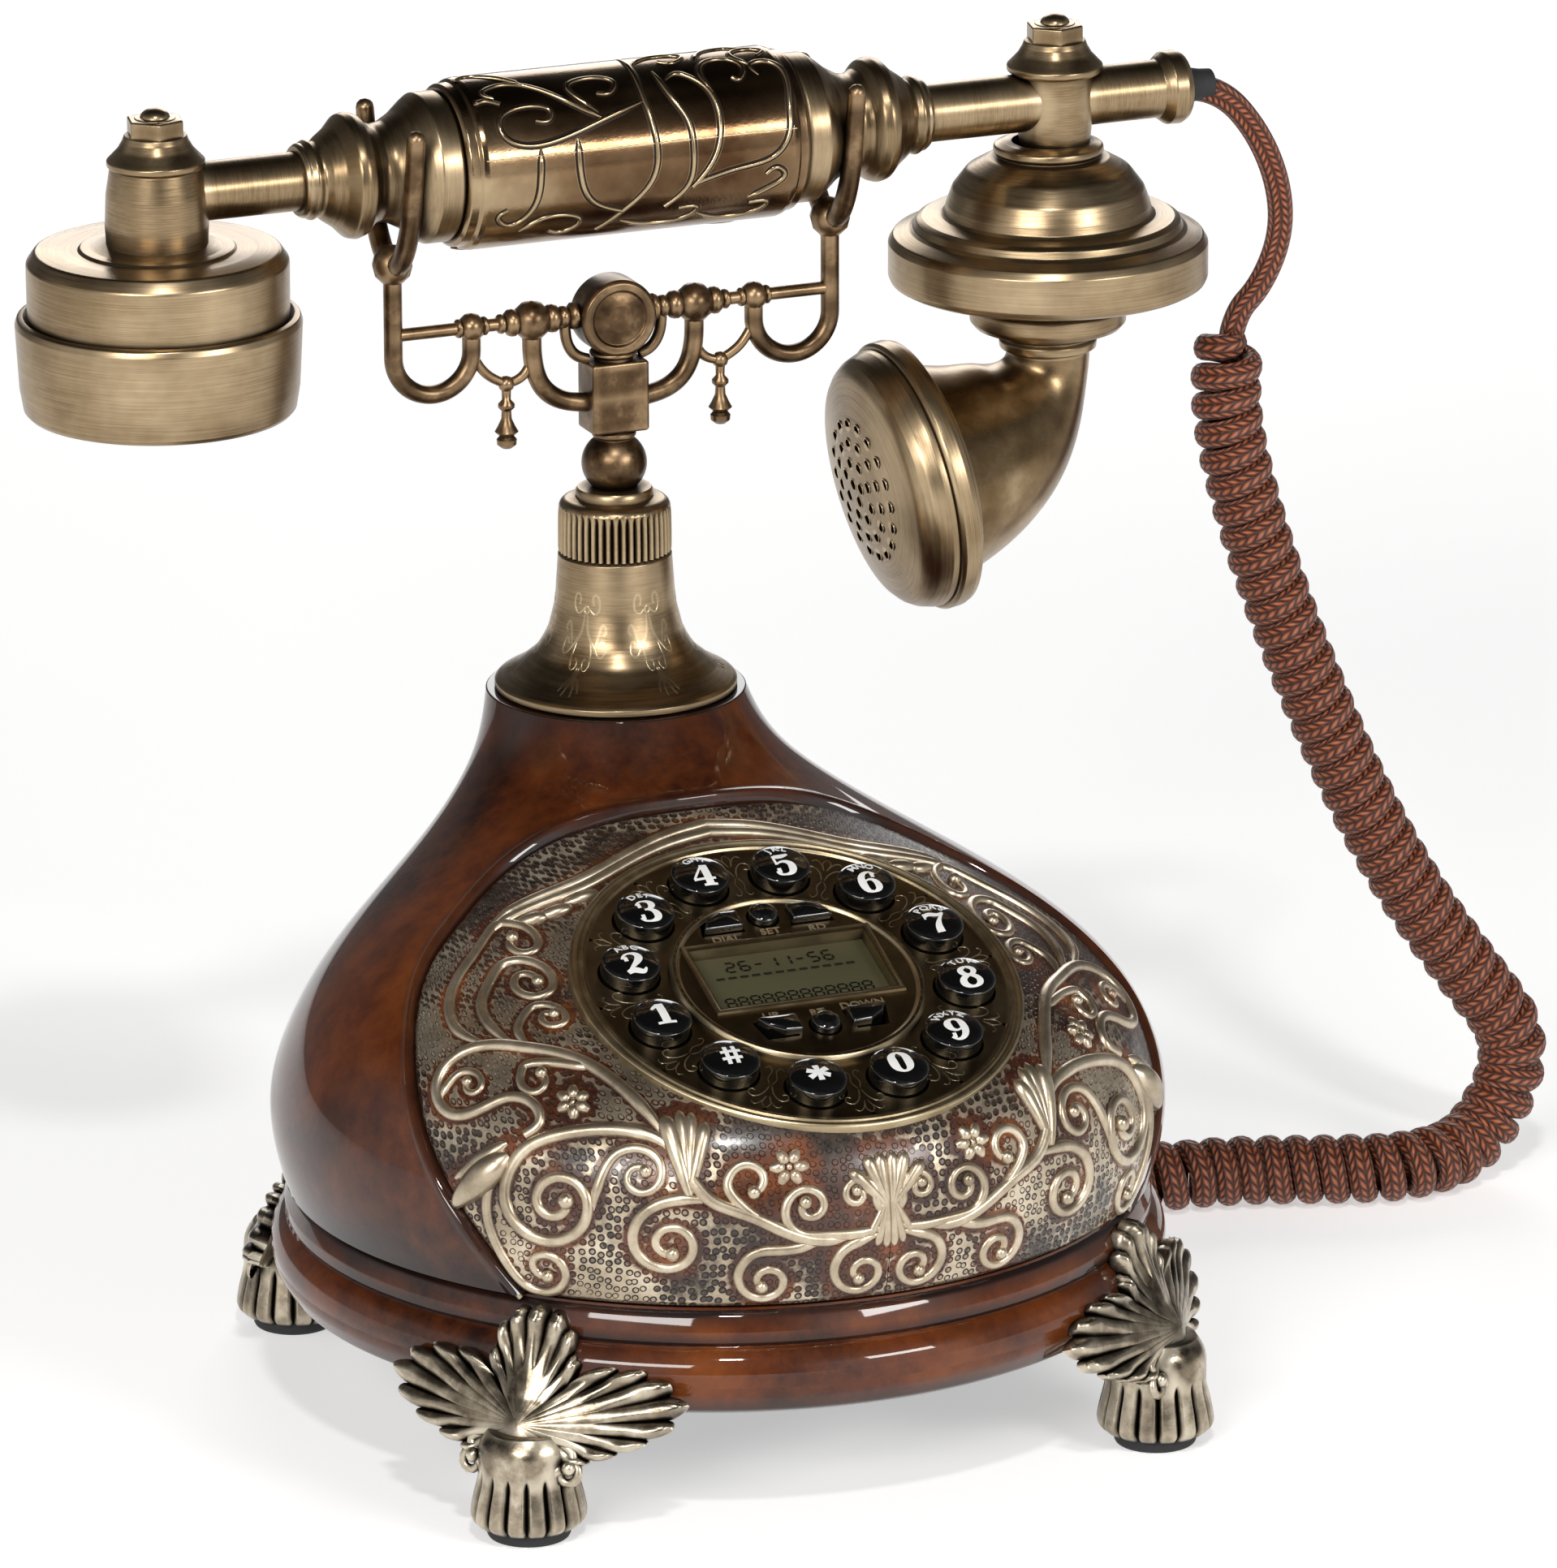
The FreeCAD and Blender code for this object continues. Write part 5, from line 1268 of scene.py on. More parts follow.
def make_small_keys():
    """Six function keys, the middle one of each row round, with their labels on the plate."""
    for index, (node, u, v, label) in enumerate(SMALL_KEYS):
        if index % 3 == 1:
            cap = lathe("cap_" + node, [(0, -1), (3.3, -1), (3.3, 2.9, 0.8), (2.0, 3.7, 1.2), (0, 3.9)], 48)
        else:
            half, deep = 4.8, 2.7
            s, t = (1 if u < 0 else -1), (1 if v > 0 else -1)
            corners = [(-half * s, -deep * t), (half * s, -deep * t), (half * s, deep * t), (0.1 * half * s,
                                                                                             deep * t),
                       (-0.62 * half * s, 0.25 * deep * t)]
            cap = prism("cap_" + node, rounded(corners[::s * t], 0.5), -1.0, 3.75, soft=0.8)
            for vertex in cap.data.vertices:
                if vertex.co.z > 0.002:
                    vertex.co.z -= 0.16 * abs(vertex.co.y) + 0.05 * abs(vertex.co.x)
        cap.matrix_world = on_dial(u, v)
        finish(cap, node, "key_black", (node,))
        word = lettering("label_" + label, label, 2.7, bold=0.03, wide=1.15)
        away = -4.9 if v > 0 else 4.6
        word.matrix_world = on_dial(u * 1.02, v + away, 1.25)
        finish(word, "base", "print_gold")


def plate_chart(u, v):
    """Dial plate surface, in millimetres across it and up it."""
    spots = np.stack([u, v, 0 * u], -1)
    return spots, np.broadcast_to(np.array([0.0, 0.0, 1.0]), spots.shape)


def make_dial():
    """The plate with its double rim, the display's bezel, engraved sprigs and the liquid crystal."""
    rim = lathe("dial_rim", [(50.35, -4.0), (50.4, 0.2, 0.4), (49.7, 0.75, 0.5), (49.1, 0.35, 0.3),
                             (48.7, 0.1, 0.2),
                             (48.2, 0.6, 0.4), (47.5, 0.55, 0.4), (47.1, 0.0, 0.2), (46.6, -0.1)], 220)
    rim.matrix_world = on_dial()
    finish(rim, "base", "dial_gold")
    inner, outer = 28.6, 47.2
    plate = disc_with_holes("dial_face", inner, outer, KEY_RING, KEY_R + 0.45, 12, math.radians(15))
    plate.matrix_world = on_dial()
    finish(plate, "base", "brass_plate", ("dial_plate",))
    for index in range(12):
        lip = lathe("key_well_%d" % index, [(KEY_R + 0.45, -2.5), (KEY_R + 0.45, 0.01)], 48)
        lip.matrix_world = key_place(index)
        finish(lip, "base", "brass_plate")
    ring = lathe("bezel_ring", [(28.55, -0.6), (28.5, 1.0, 0.3), (27.9, 1.9, 0.5), (27.0, 1.9, 0.5),
                                (26.5, 1.25, 0.2),
                                (26.2, 1.2)], 180)
    ring.matrix_world = on_dial()
    finish(ring, "base", "dial_gold")
    engraved = []
    for index in range(12):
        engraved += sprig(math.radians(90 - 30 * index))
    lines = raise_strokes("dial_engraving", engraved, plate_chart, height=0.5, sides=3, sink=0.02,
                          mirror=False)
    lines.matrix_world = on_dial()
    finish(lines, "base", "dial_gold")
    make_display_parts()


def sprig(angle):
    """A small engraved fleur between two keys: two curls below, a stem and three leaves."""
    out = np.array([math.cos(angle), math.sin(angle)])
    side = np.array([-out[1], out[0]])

    def here(points):
        return [tuple(out * (KEY_RING + a) + side * b) for b, a in points]
    strokes = []
    for s in (-1, 1):
        strokes.append(stroke(here([(0.3 * s, 0.5), (1.2 * s, 3.4), (3.2 * s, 5.0), (4.5 * s, 3.9),
                                    (4.0 * s, 2.6),
                                    (3.0 * s, 3.0)]), 0.2, tip=0.8, count=22))
        strokes.append(stroke(here([(0.3 * s, 4.2), (1.3 * s, 6.6), (2.6 * s, 7.6), (3.4 * s, 6.9)]), 0.2,
                              count=14))
        strokes.append(stroke(here([(0.2 * s, 0.2), (1.0 * s, -2.2), (0.5 * s, -4.6), (1.4 * s, -6.0),
                                    (2.1 * s, -5.2)]), 0.16, count=18))
        strokes.append(stroke(here([(0.5 * s, 5.0), (0.9 * s, 7.0), (0.0, 8.4)]), 0.2, count=10))
    return strokes


def disc_with_holes(name, inner, outer, ring, hole, count, first):
    """A flat ring with a row of round holes: each hole's edge is joined to its own share of the ring."""
    points, faces = [], []
    half = math.pi / count
    sides = 48
    for k in range(count):
        middle = first + TAU * k / count
        centre = np.array([math.cos(middle), math.sin(middle)]) * ring
        start = len(points)
        for j in range(sides):
            a = TAU * j / sides
            way = np.array([math.cos(middle + a), math.sin(middle + a)])
            points.append((*(centre + way * hole), -0.02))
        for j in range(sides):
            a = TAU * j / sides
            way = np.array([math.cos(middle + a), math.sin(middle + a)])
            reach = sector_reach(centre, way, middle, half, inner, outer)
            points.append((*(centre + way * reach), 0.0))
        faces += [tuple(start + i for i in f) for f in grid_faces(2, sides, close_columns=True)]
    return mesh(name, points, faces)


def sector_reach(centre, way, middle, half, inner, outer):
    """How far from a hole's centre its sector of the ring ends in a direction."""
    best = 1e9
    for radius in (inner, outer):
        b = centre.dot(way)
        c = centre.dot(centre) - radius ** 2
        root = b * b - c
        if root > 0:
            best = min([best] + [t for t in (-b - math.sqrt(root), -b + math.sqrt(root)) if t > 0.1])
    for side in (-1, 1):
        edge = np.array([-math.sin(middle + side * half), math.cos(middle + side * half)])
        slope = way.dot(edge)
        if abs(slope) > 1e-9:
            t = -centre.dot(edge) / slope
            if t > 0.1:
                best = min(best, t)
    return best


WINDOW_W, WINDOW_D, WINDOW_V = 42.0, 21.0, 3.0
SEGMENTS = {"a": ((0.5, 6), (3.5, 6)), "b": ((4, 5.6), (4, 3.4)), "c": ((4, 2.6), (4, 0.4)), "d": ((0.5, 0),
                                                                                                   (3.5,
                                                                                                    0)),
            "e": ((0, 2.6), (0, 0.4)), "f": ((0, 5.6), (0, 3.4)), "g": ((0.5, 3), (3.5, 3))}
SHOWN = {"8": "abcdefg", "2": "abged", "6": "afgedc", "5": "afgcd", "1": "bc", "-": "g", "E": "afged",
         "L": "fed"}


def digit_bars(sign, x, y, size, thick, bars):
    """The lit bars of one seven-segment figure, added to a list of rectangles."""
    for name in SHOWN.get(sign, ""):
        (x1, y1), (x2, y2) = SEGMENTS[name]
        a = Vector((x + x1 * size, y + y1 * size))
        b = Vector((x + x2 * size, y + y2 * size))
        side = Vector((0, thick)) if y1 == y2 else Vector((thick, 0))
        bars.append((a - side, b - side, b + side, a + side))


def make_display_parts():
    """The window's raised frame, the panel behind it, and the bars of its figures."""
    w, d, v = WINDOW_W / 2, WINDOW_D / 2, WINDOW_V
    frame_piece = []
    profile = ((0, 0.0), (0.15, 0.55), (0.7, 0.75), (1.25, 0.55), (1.4, 0.0))
    for out, high in ((-0.05, -3.2),) + profile:
        frame_piece += [(x * (w + out), v + y * (d + out), 1.2 + high if high >= 0 else high)
                        for x, y in ((-1, -1), (1, -1), (1, 1), (-1, 1))]
    rim = mesh("window_frame", frame_piece, grid_faces(len(profile) + 1, 4, close_columns=True), sharp=30)
    rim.matrix_world = on_dial()
    finish(rim, "base", "dial_gold")
    panel = prism("display_panel", [(-w - 1.8, v - d - 1.2), (w + 1.8, v - d - 1.2), (w + 1.8, v + d + 1.2),
                                    (-w - 1.8, v + d + 1.2)], -4.2, -1.75, soft=0.2)
    panel.matrix_world = on_dial()
    finish(panel, "base", "display", ("lcd_module",))
    bars, faint = [], []
    for index, sign in enumerate("888888888888"):
        digit_bars(sign, -17.2 + index * 2.95, v - d + 3.6, 0.50, 0.2, bars)
    for index, sign in enumerate("26-11-56"):
        digit_bars(sign, -13.0 + index * 3.3, v + d - 5.6, 0.52, 0.22, bars)
    for index in range(12):
        x = -16.5 + index * 2.8
        faint.append(tuple(Vector((x + a, v + 2.6 + b)) for a, b in ((0, 0), (1.9, 0), (1.9, 0.7),
                                                                     (0, 0.7))))
    for name, rects, material in (("display_bars", bars, "segment"), ("display_words", faint,
                                                                      "segment_faint")):
        points = [(p.x, p.y, -1.45) for rect in rects for p in rect]
        faces = [tuple(range(4 * i, 4 * i + 4)) for i in range(len(rects))]
        piece = mesh(name, points, faces)
        piece.matrix_world = on_dial()
        finish(piece, "base", material)


# ---- plinth and underside ------------------------------------------------------------------------

def make_plinth():
    """Two rolled mouldings, with painted shade in the groove between them, along the top under the body and
    towards the bottom.
    """
    profile = [(90.2, 27.3), (94.6, 27.2, 0.8), (97.4, 28.6, 3), (100.0, 33.0, 5), (99.9, 37.6, 5),
               (97.6, 41.6, 3),
               (96.3, 43.0, 0.5), (97.0, 44.2, 0.6), (97.1, 46.6, 1.4), (95.8, 49.8, 2.5),
               (94.3, 51.4, 0.4),
               (90.2, 51.4)]
    ring = lathe("plinth_moulding", profile, 300)
    z = np.array([v.co.z for v in ring.data.vertices]) / MM
    # painted shade: in the groove between the mouldings, along the top under the body and towards the
    # bottom
    painted_shade = np.maximum(np.exp(-((z - 43.2) / 1.8) ** 2), np.clip((z - 48.5) / 2, 0, 1))
    painted_shade = np.maximum(painted_shade, np.clip((33 - z) / 5, 0, 0.9)) * 0.95
    paint_points(ring, "painted_shade", painted_shade)
    finish(stand(ring, 0, PLINTH_Y, 0), "base", "lacquer")


# the foot's leaf seen from the front: each finger tip's angle from straight up, its reach in
# millimetres from the leaf's middle, and how deep the notch after it cuts in; the other half mirrors it
LEAF_TIPS = ((0, 24.4, 0.06), (13, 23.8, 0.07), (25, 21.6, 0.08), (35, 17.2, 0.36), (53, 22.0, 0.09),
             (62, 28.0, 0.09),
             (71, 33.0, 0.08), (80, 36.2, 0.08), (88, 32.0, 0.09), (96, 25.6, 0.10), (106, 19.4, 0.12),
             (119, 15.0, 0.08),
             (136, 13.6, 0.0), (180, 13.0, 0.0))
LEAF_MIDDLE = 26.0
FOOT_OUT = math.hypot(74.7, 73.3)


def make_feet():
    """Each foot: a grooved paw, a leaf that hugs the plinth, curls under it, and a rubber pad."""
    for index, angle in enumerate((44.46, 135.54, 224.46, 315.54)):
        turn = Matrix.Rotation(math.radians(angle), 4, "Z")
        pieces = [foot_paw(index), foot_leaf(index), foot_curls(index)]
        for piece in pieces:
            piece.matrix_world = Matrix.Translation(at(0, PLINTH_Y, 0)) @ turn
            finish(piece, "base", "foot_silver")
        pad = lathe("foot_pad_%d" % index, [(0, 0.02), (8.8, 0.02, 0.5), (9.2, 0.8, 0.5), (9.1, 3.2)], 48)
        pad.matrix_world = Matrix.Translation(at(0, PLINTH_Y,
                                                 0)) @ turn @ Matrix.Translation((FOOT_OUT * MM, 0, 0))
        finish(pad, "base", "rubber")
        if index == 0:
            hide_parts("feet")
            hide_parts("foot_pads")


def foot_paw(index):
    """The paw under the leaf: toes parted by narrow grooves, and a plain cuff that the leaf grows from."""
    profile = spline([3.0, 4.2, 6.5, 10.0, 14.0, 16.0, 18.5, 22.0, 25.0], [10.8, 12.2, 12.6, 11.9, 11.0,
                                                                           10.9, 10.9, 10.4, 8.6])
    heights = np.linspace(3.0, 25.0, 60)
    sides = 320
    points = []
    for z in heights:
        for s in range(sides):
            a = TAU * s / sides
            groove = min(1.0, abs(math.sin(8 * a)) * 1.7) ** 0.6
            depth = 0.13 * min(1.0, max(0.0, (16.5 - z) / 2.5))
            r = float(profile(z)) * (1 - depth * (1 - groove))
            points.append((FOOT_OUT + (r + 0.4) * math.cos(a), r * math.sin(a), z))
    faces = grid_faces(len(heights), sides, close_columns=True)
    faces.append(tuple(range(sides))[::-1])
    faces.append(tuple(range((len(heights) - 1) * sides, len(heights) * sides)))
    return mesh("foot_paw_%d" % index, points, faces, sharp=70)


LEAF_R = spline([13, 16, 19, 22, 26, 30, 35, 40, 45, 48.5, 51.5],
                [109.6, 109.4, 108.6, 107.6, 106.4, 104.8, 102.8, 101.0, 99.6, 98.8, 99.4])


def leaf_chart(across, z):
    """Surface of the leaf: across is millimetres round the plinth at the foot's middle."""
    reach = LEAF_R(np.clip(z, 13, 51.5))
    phi = np.asarray(across, float) / 103.0
    spots = np.stack([reach * np.cos(phi), reach * np.sin(phi), z + 0 * phi], -1)
    slope = (LEAF_R(np.clip(z + 0.2, 13, 51.5)) - LEAF_R(np.clip(z - 0.2, 13, 51.5))) / 0.4
    normals = np.stack([np.cos(phi), np.sin(phi), -slope], -1)
    return spots, normals / np.linalg.norm(normals, axis=-1)[..., None]


def foot_leaf(index):
    """The leaf as one fluted sheet: a smooth boss in the middle that runs out into scalloped fingers."""
    angles, reaches, notches = np.array(LEAF_TIPS, float).T
    sides = 900
    around = np.linspace(-180, 180, sides, endpoint=False)
    finger = np.interp(np.abs(around), angles, range(len(angles)))
    crest = np.abs(np.cos(math.pi * finger))
    notch = np.array(notches)[np.minimum(finger.astype(int), len(notches) - 1)]
    edge = np.interp(np.abs(around), angles, reaches) * (1 - notch * (1 - crest ** 0.6))
    fluted = np.clip((150 - np.abs(around)) / 25, 0, 1)
    shares = np.concatenate([np.linspace(0.02, 0.96, 34), [0.985, 1.0, 1.0, 1.0]])
    points = []
    for row, share in enumerate(shares):
        across = edge * share * np.sin(np.radians(around))
        z = LEAF_MIDDLE + edge * share * np.cos(np.radians(around))
        spots, normals = leaf_chart(across, z)
        flute = 1.9 * np.clip((share - 0.5) / 0.35, 0, 1) * (1 - crest ** 0.6) * fluted
        boss = 2.2 * (1 - share) + 2.4 * np.exp(-(across / 5.5) ** 2) * np.clip((31 - z) / 9, 0, 1)
        boss = boss + 0.9 * np.exp(-(across / 2.2) ** 2) * np.clip(share * 2, 0, 1) * (z > LEAF_MIDDLE)
        curled = 0.9 * np.exp(-((share - 0.9) / 0.1) ** 2)
        height = 0.9 + boss + curled - flute - (0.9 if share > 0.97 else 0)
        if row >= len(shares) - 2:
            height = np.full(len(across), -1.2 if row == len(shares) - 2 else -2.6)
        points.append(spots + normals * np.asarray(height)[:, None])
    points = np.array(points)
    faces = grid_faces(len(shares), sides, close_columns=True)
    faces.append(tuple(range(sides))[::-1])
    faces.append(tuple(range((len(shares) - 1) * sides, len(shares) * sides)))
    return mesh("foot_leaf_%d" % index, points.reshape(-1, 3), faces, sharp=65)


def foot_curls(index):
    """The small curls under the leaf's lower edge."""
    strokes = []
    for side in (-1, 1):
        strokes.append((*curl([(side * 6.0, 24.0), (side * 11.5, 21.0)], (side * 10.6, 16.9), 2.6, 70, 1.0,
                              -side, 1.3,
                              end=0.5)[:2], 1.7))
    return raise_strokes("foot_curls_%d" % index, strokes, lambda a, z: lower(leaf_chart(a, z), -1.0),
                         height=0.9,
                         sides=9, sink=0.4, mirror=False)


# ---- collar, nut and cradle ----------------------------------------------------------------------

COLLAR = [(27.0, 147.3), (27.4, 147.7, 0.3), (27.4, 149.0, 0.4), (26.7, 149.7, 0.4), (22.6, 152.0, 5),
          (18.2, 155.6, 8),
          (15.4, 160.2, 12), (13.6, 167.4, 20), (12.85, 178.4, 0.4), (12.0, 179.0)]
COLLAR_R = spline([149.0, 149.8, 152.0, 155.6, 160.2, 167.4, 179.0], [27.4, 26.6, 22.6, 18.3, 15.5, 13.65,
                                                                      12.85])


def collar_chart(a, z):
    """Collar surface: a in degrees round it, z the height."""
    angle = np.radians(a)
    radius = COLLAR_R(z)
    spots = np.stack([radius * np.sin(angle), -radius * np.cos(angle), z + 0 * angle], -1)
    slope = (COLLAR_R(z + 0.1) - COLLAR_R(z - 0.1)) / 0.2
    normals = np.stack([np.sin(angle), -np.cos(angle), -slope], -1)
    return spots, normals / np.linalg.norm(normals, axis=-1)[..., None]


def collar_motif(middle):
    """An engraved spray: a ring, stems that curl outwards from it, and a palm of leaves below."""
    ring = [(middle + 2.6 * math.cos(a), 168.3 + 0.75 * math.sin(a)) for a in np.linspace(0, TAU, 14)]
    strokes = [stroke(ring, 0.24, tip=1.0, count=24)]
    for s in (-1, 1):
        def here(points):
            return [(middle + s * a, z) for a, z in points]
        for line in (((3.0, 168.6), (9.0, 167.4), (13.5, 169.2), (11.5, 171.6), (6.5, 171.0), (7.5, 169.4)),
                     ((1.5, 167.2), (3.0, 163.5), (9.0, 160.6), (16.0, 158.2), (19.5, 159.8), (17.0, 161.6),
                      (14.2, 160.4)),
                     ((11.0, 160.0), (14.0, 163.4), (17.5, 165.2), (20.0, 163.8), (17.5, 162.8)),
                     ((6.0, 161.8), (8.0, 157.4), (5.0, 155.4), (2.2, 156.6), (4.4, 157.8)),
                     ((0.6, 156.2), (1.0, 154.6), (0.4, 153.2)),
                     ((0.8, 153.8), (4.0, 153.0), (6.0, 151.6)),
                     ((0.4, 153.4), (2.0, 152.2), (2.6, 151.0))):
            strokes.append(stroke(here(line), 0.25, tip=0.85, count=26))
    return strokes


def make_collar():
    """The bell-shaped collar, its six engraved sprays and the nut."""
    bell = lathe("bell_collar_brushed", COLLAR, 200)
    finish(stand(bell, 0, NECK_Y, 0), "base", "brass", ("bell_collar",))
    engraved = []
    for k in range(6):
        engraved += collar_motif(-50 + 60 * k)
    lines = raise_strokes("collar_engraving", engraved, collar_chart, height=0.5, sides=3, sink=0.03,
                          mirror=False)
    finish(stand(lines, 0, NECK_Y, 0), "base", "dial_gold")
    make_nut()


def make_nut():
    """The fluted nut: a plain foot, rounded flutes, a domed shoulder and a washer."""
    sides, flutes = 528, 44
    levels = [(179.1, 12.0, 0.0), (179.15, 12.75, 0.9), (180.0, 12.8, 1.0), (183, 12.8, 1.0), (186.6, 12.75,
                                                                                               1.0),
              (188.0, 12.7, 0.9), (189.0, 12.6, 0.5), (189.6, 12.6, 0.0), (190.3, 12.3, 0.0), (191.0, 11.6,
                                                                                               0.0),
              (191.4, 10.6, 0.0), (191.5, 8.9, 0.0), (191.6, 8.75, 0), (193.2, 8.75, 0.0),
              (193.8, 8.3, 0.0),
              (194.0, 7.4, 0.0), (194.0, 4.7, 0.0)]
    points = []
    for z, radius, depth in levels:
        for s in range(sides):
            a = TAU * s / sides
            cut = 1.35 * depth * (1 - abs(math.sin(flutes * a / 2)) ** 0.8)
            points.append(((radius - cut) * math.cos(a), (radius - cut) * math.sin(a), z))
    nut = mesh("knurled_nut_brushed", points, grid_faces(len(levels), sides, close_columns=True), sharp=40)
    finish(stand(nut, 0, NECK_Y, 0), "base", "brass", ("knurled_nut",))


RAIL_Z, YOKE_X, EYE_Z = 234.4, 52.6, 250.8


def bead_chain(points, faces, beads):
    """Turned beads along a rail: each is (x, z, radius, squeeze along the rail)."""
    for x, z, radius, squeeze in beads:
        flat = np.diag([squeeze, 1.0, 1.0])
        add_ball(points, faces, np.array([x, 0, z]), radius, flat)


def add_tube(points, faces, path, radius, count=12, taper=None):
    """A round bar added to a mesh being built."""
    new_points, new_faces = tube_mesh(path, circle(radius, count), sizes=taper)
    first = len(points)
    points.extend(new_points)
    faces += [tuple(first + i for i in f) for f in new_faces]


def torus_path(x, z, radius, start, end):
    """An upright arc, its angles in degrees."""
    angles = np.radians(np.linspace(start, end, 40))
    return np.stack([x + radius * np.cos(angles), 0 * angles, z + radius * np.sin(angles)], 1)


def make_cradle():
    """The post's ball, the block, the medallion, the beaded rail, hanging loops, forks and pendants."""
    post = lathe("cradle_post_turned", [(4.5, 150), (4.5, 194.5, 0.4), (5.2, 194.9, 0.3), (5.2, 195.6, 0.3)]
                 + [(max(4.4, 7.4 * math.sin(math.radians(a))), 199.4 - 7.2 * math.cos(math.radians(a)), 0)
                    for a in range(44, 145, 8)]
                 + [(4.3, 205.3, 0.3), (5.0, 205.9, 0.4), (5.0, 206.7, 0.4), (4.3, 207.3)], 96)
    finish(stand(post, 0, NECK_Y, 0), "cradle", "cradle_bronze", ("cradle_post",))
    corners = [(-6.8, -5.0), (6.8, -5.0), (6.8, 5.0), (-6.8, 5.0)]
    block = prism("cradle_block", rounded(corners, 0.9), 215.4, 223.5, soft=0.7)
    lower_half = block.data.copy()
    lower_half.transform(Matrix.Translation((0, 0, 2 * 215.4 * MM)) @ Matrix.Diagonal((1, 1, -1, 1)))
    lower_half.flip_normals()
    base = bpy.data.objects.new("cradle_block_low", lower_half)
    bpy.context.collection.objects.link(base)
    for piece in (block, base):
        finish(stand(piece, 0, NECK_Y, 0), "cradle", "cradle_bronze")
    medal = lathe("cradle_medal", [(0, -4.7), (3, -4.7), (5.0, -4.2, 1), (6.1, -3.9, 0.4), (6.6, -4.6, 0.4),
                                   (8.2, -4.8, 0.7), (8.9, -3.8, 0.6), (8.9, 3.8, 0.6), (8.2, 4.8, 0.7),
                                   (6.6, 4.6, 0.4), (6.1, 3.9, 0.4), (5.0, 4.2, 1), (3, 4.7), (0, 4.7)], 72)
    stand(medal, 0, NECK_Y, RAIL_Z - 0.7, Matrix.Rotation(math.pi / 2, 4, "X"))
    finish(medal, "cradle", "cradle_bronze", ("cradle_head",))
    stem = lathe("cradle_stem", [(4.4, 222), (4.4, 224.2, 0.4), (5.4, 224.8, 0.4), (5.4, 225.4, 0.4),
                                 (4.2, 226)], 48)
    finish(stand(stem, 0, NECK_Y, 0), "cradle", "cradle_bronze")
    for side, name in ((-1, "yoke_left"), (1, "yoke_right")):
        piece = make_yoke(side, name + "_cast")
        finish(piece, "cradle", "cradle_bronze", (name,))
    curls = make_curls()
    finish(curls, "cradle", "cradle_bronze", ("scrollwork",))


def make_yoke(side, name):
    """One side of the cradle: the beaded rail, the hanging loop, the upright and its fork."""
    points, faces = [], []
    add_tube(points, faces, [(side * x, 0, RAIL_Z) for x in np.linspace(8.4, YOKE_X, 8)], 1.5)
    beads = [(9.6, 3.2, 0.55), (12.0, 2.6, 0.7), (14.8, 3.3, 0.75), (19.6, 4.6, 0.98), (24.4, 3.2, 0.7),
             (27.0, 2.3, 0.6),
             (30.9, 2.2, 0.5), (34.0, 3.3, 0.95), (37.1, 2.2, 0.5)]
    bead_chain(points, faces, [(side * x, RAIL_Z, r, s) for x, r, s in beads])
    # the hanging loop under the rail, from the ball down, round and up into the upright
    loop = torus_path(side * 43.3, 229.2, 9.3, -180 if side > 0 else 0, 0 if side > 0 else -180)
    start = [(side * 34.0, 0, z) for z in (234.2, 232.5, 231.0)]
    rise = [(side * YOKE_X, 0, z) for z in (231.0, 236.0, 241.0, 246.0, 249.0)]
    add_tube(points, faces, np.array(start + [tuple(p) for p in loop] + rise), 2.1, 16)
    add_ball(points, faces, np.array([side * YOKE_X, 0, EYE_Z]), 4.7)
    fork = smooth_curve([(-15.9, 32.2), (-14.6, 24), (-12.6, 14.5), (-8.6, 5.6), (-3.2, 0.6), (3.2, 0.6),
                         (8.6, 5.6),
                         (12.6, 14.5), (14.6, 24), (15.9, 32.2)], 70)
    share = np.abs(np.linspace(-1, 1, 70))
    sizes = 1.18 - 0.2 * share
    path = [(side * YOKE_X, y, EYE_Z + z) for y, z in fork]
    new_points, new_faces = tube_mesh(path, circle(2.1, 16), up=Vector((1, 0, 0)), sizes=sizes)
    first = len(points)
    points.extend(new_points)
    faces += [tuple(first + i for i in f) for f in new_faces]
    for y, z in ((-15.9, 32.2), (15.9, 32.2)):
        add_ball(points, faces, np.array([side * YOKE_X, y, EYE_Z + z]), 2.15)
    return stand(mesh(name, points, faces, sharp=45), 0, NECK_Y, 0)


def make_curls():
    """The two big curls under the rail, the small hooks, and the pendants with their drops."""
    points, faces = [], []
    for side in (-1, 1):
        big = smooth_curve([(19.5, 232), (19.4, 226), (17.6, 219.6), (13.2, 215.6), (8.0, 214.2),
                            (6.3, 214.0)], 40)
        add_tube(points, faces, [(side * x, 0, z) for x, z in big], 2.2, 14)
        inner = smooth_curve([(11.6, 232.8), (11.2, 228.8), (9.2, 225.4), (6.2, 224.0)], 24)
        add_tube(points, faces, [(side * x, 0, z) for x, z in inner], 1.3)
        for far, top in ((19.3, 226.2), (33.6, 227.6)):
            hook = smooth_curve([(far, top), ((far + 25.8) / 2 + (far - 25.8) * 0.1, top - 4.4),
                                 (25.8, 220.4)], 20)
            add_tube(points, faces, [(side * x, 0, z) for x, z in hook], 1.1)
        add_ball(points, faces, np.array([side * 25.8, 0, 220.4]), 1.9)
        drop = [(219, 1.1), (216.8, 1.0), (215.8, 1.9), (215.0, 1.9), (214.2, 1.1), (212.4, 1.2),
                (210.6, 2.0),
                (209.4, 2.7), (208.4, 1.6), (207.6, 2.3), (206.4, 2.2), (205.6, 1.2)]
        path = [(side * 25.8, 0, z) for z, r in drop]
        add_tube(points, faces, path, 1.0, 14, taper=[r for z, r in drop])
    return stand(mesh("scrollwork_cast", points, faces, sharp=45), 0, NECK_Y, 0)


# ---- handset -------------------------------------------------------------------------------------

ALONG = Matrix.Rotation(math.pi / 2, 4, "Y")


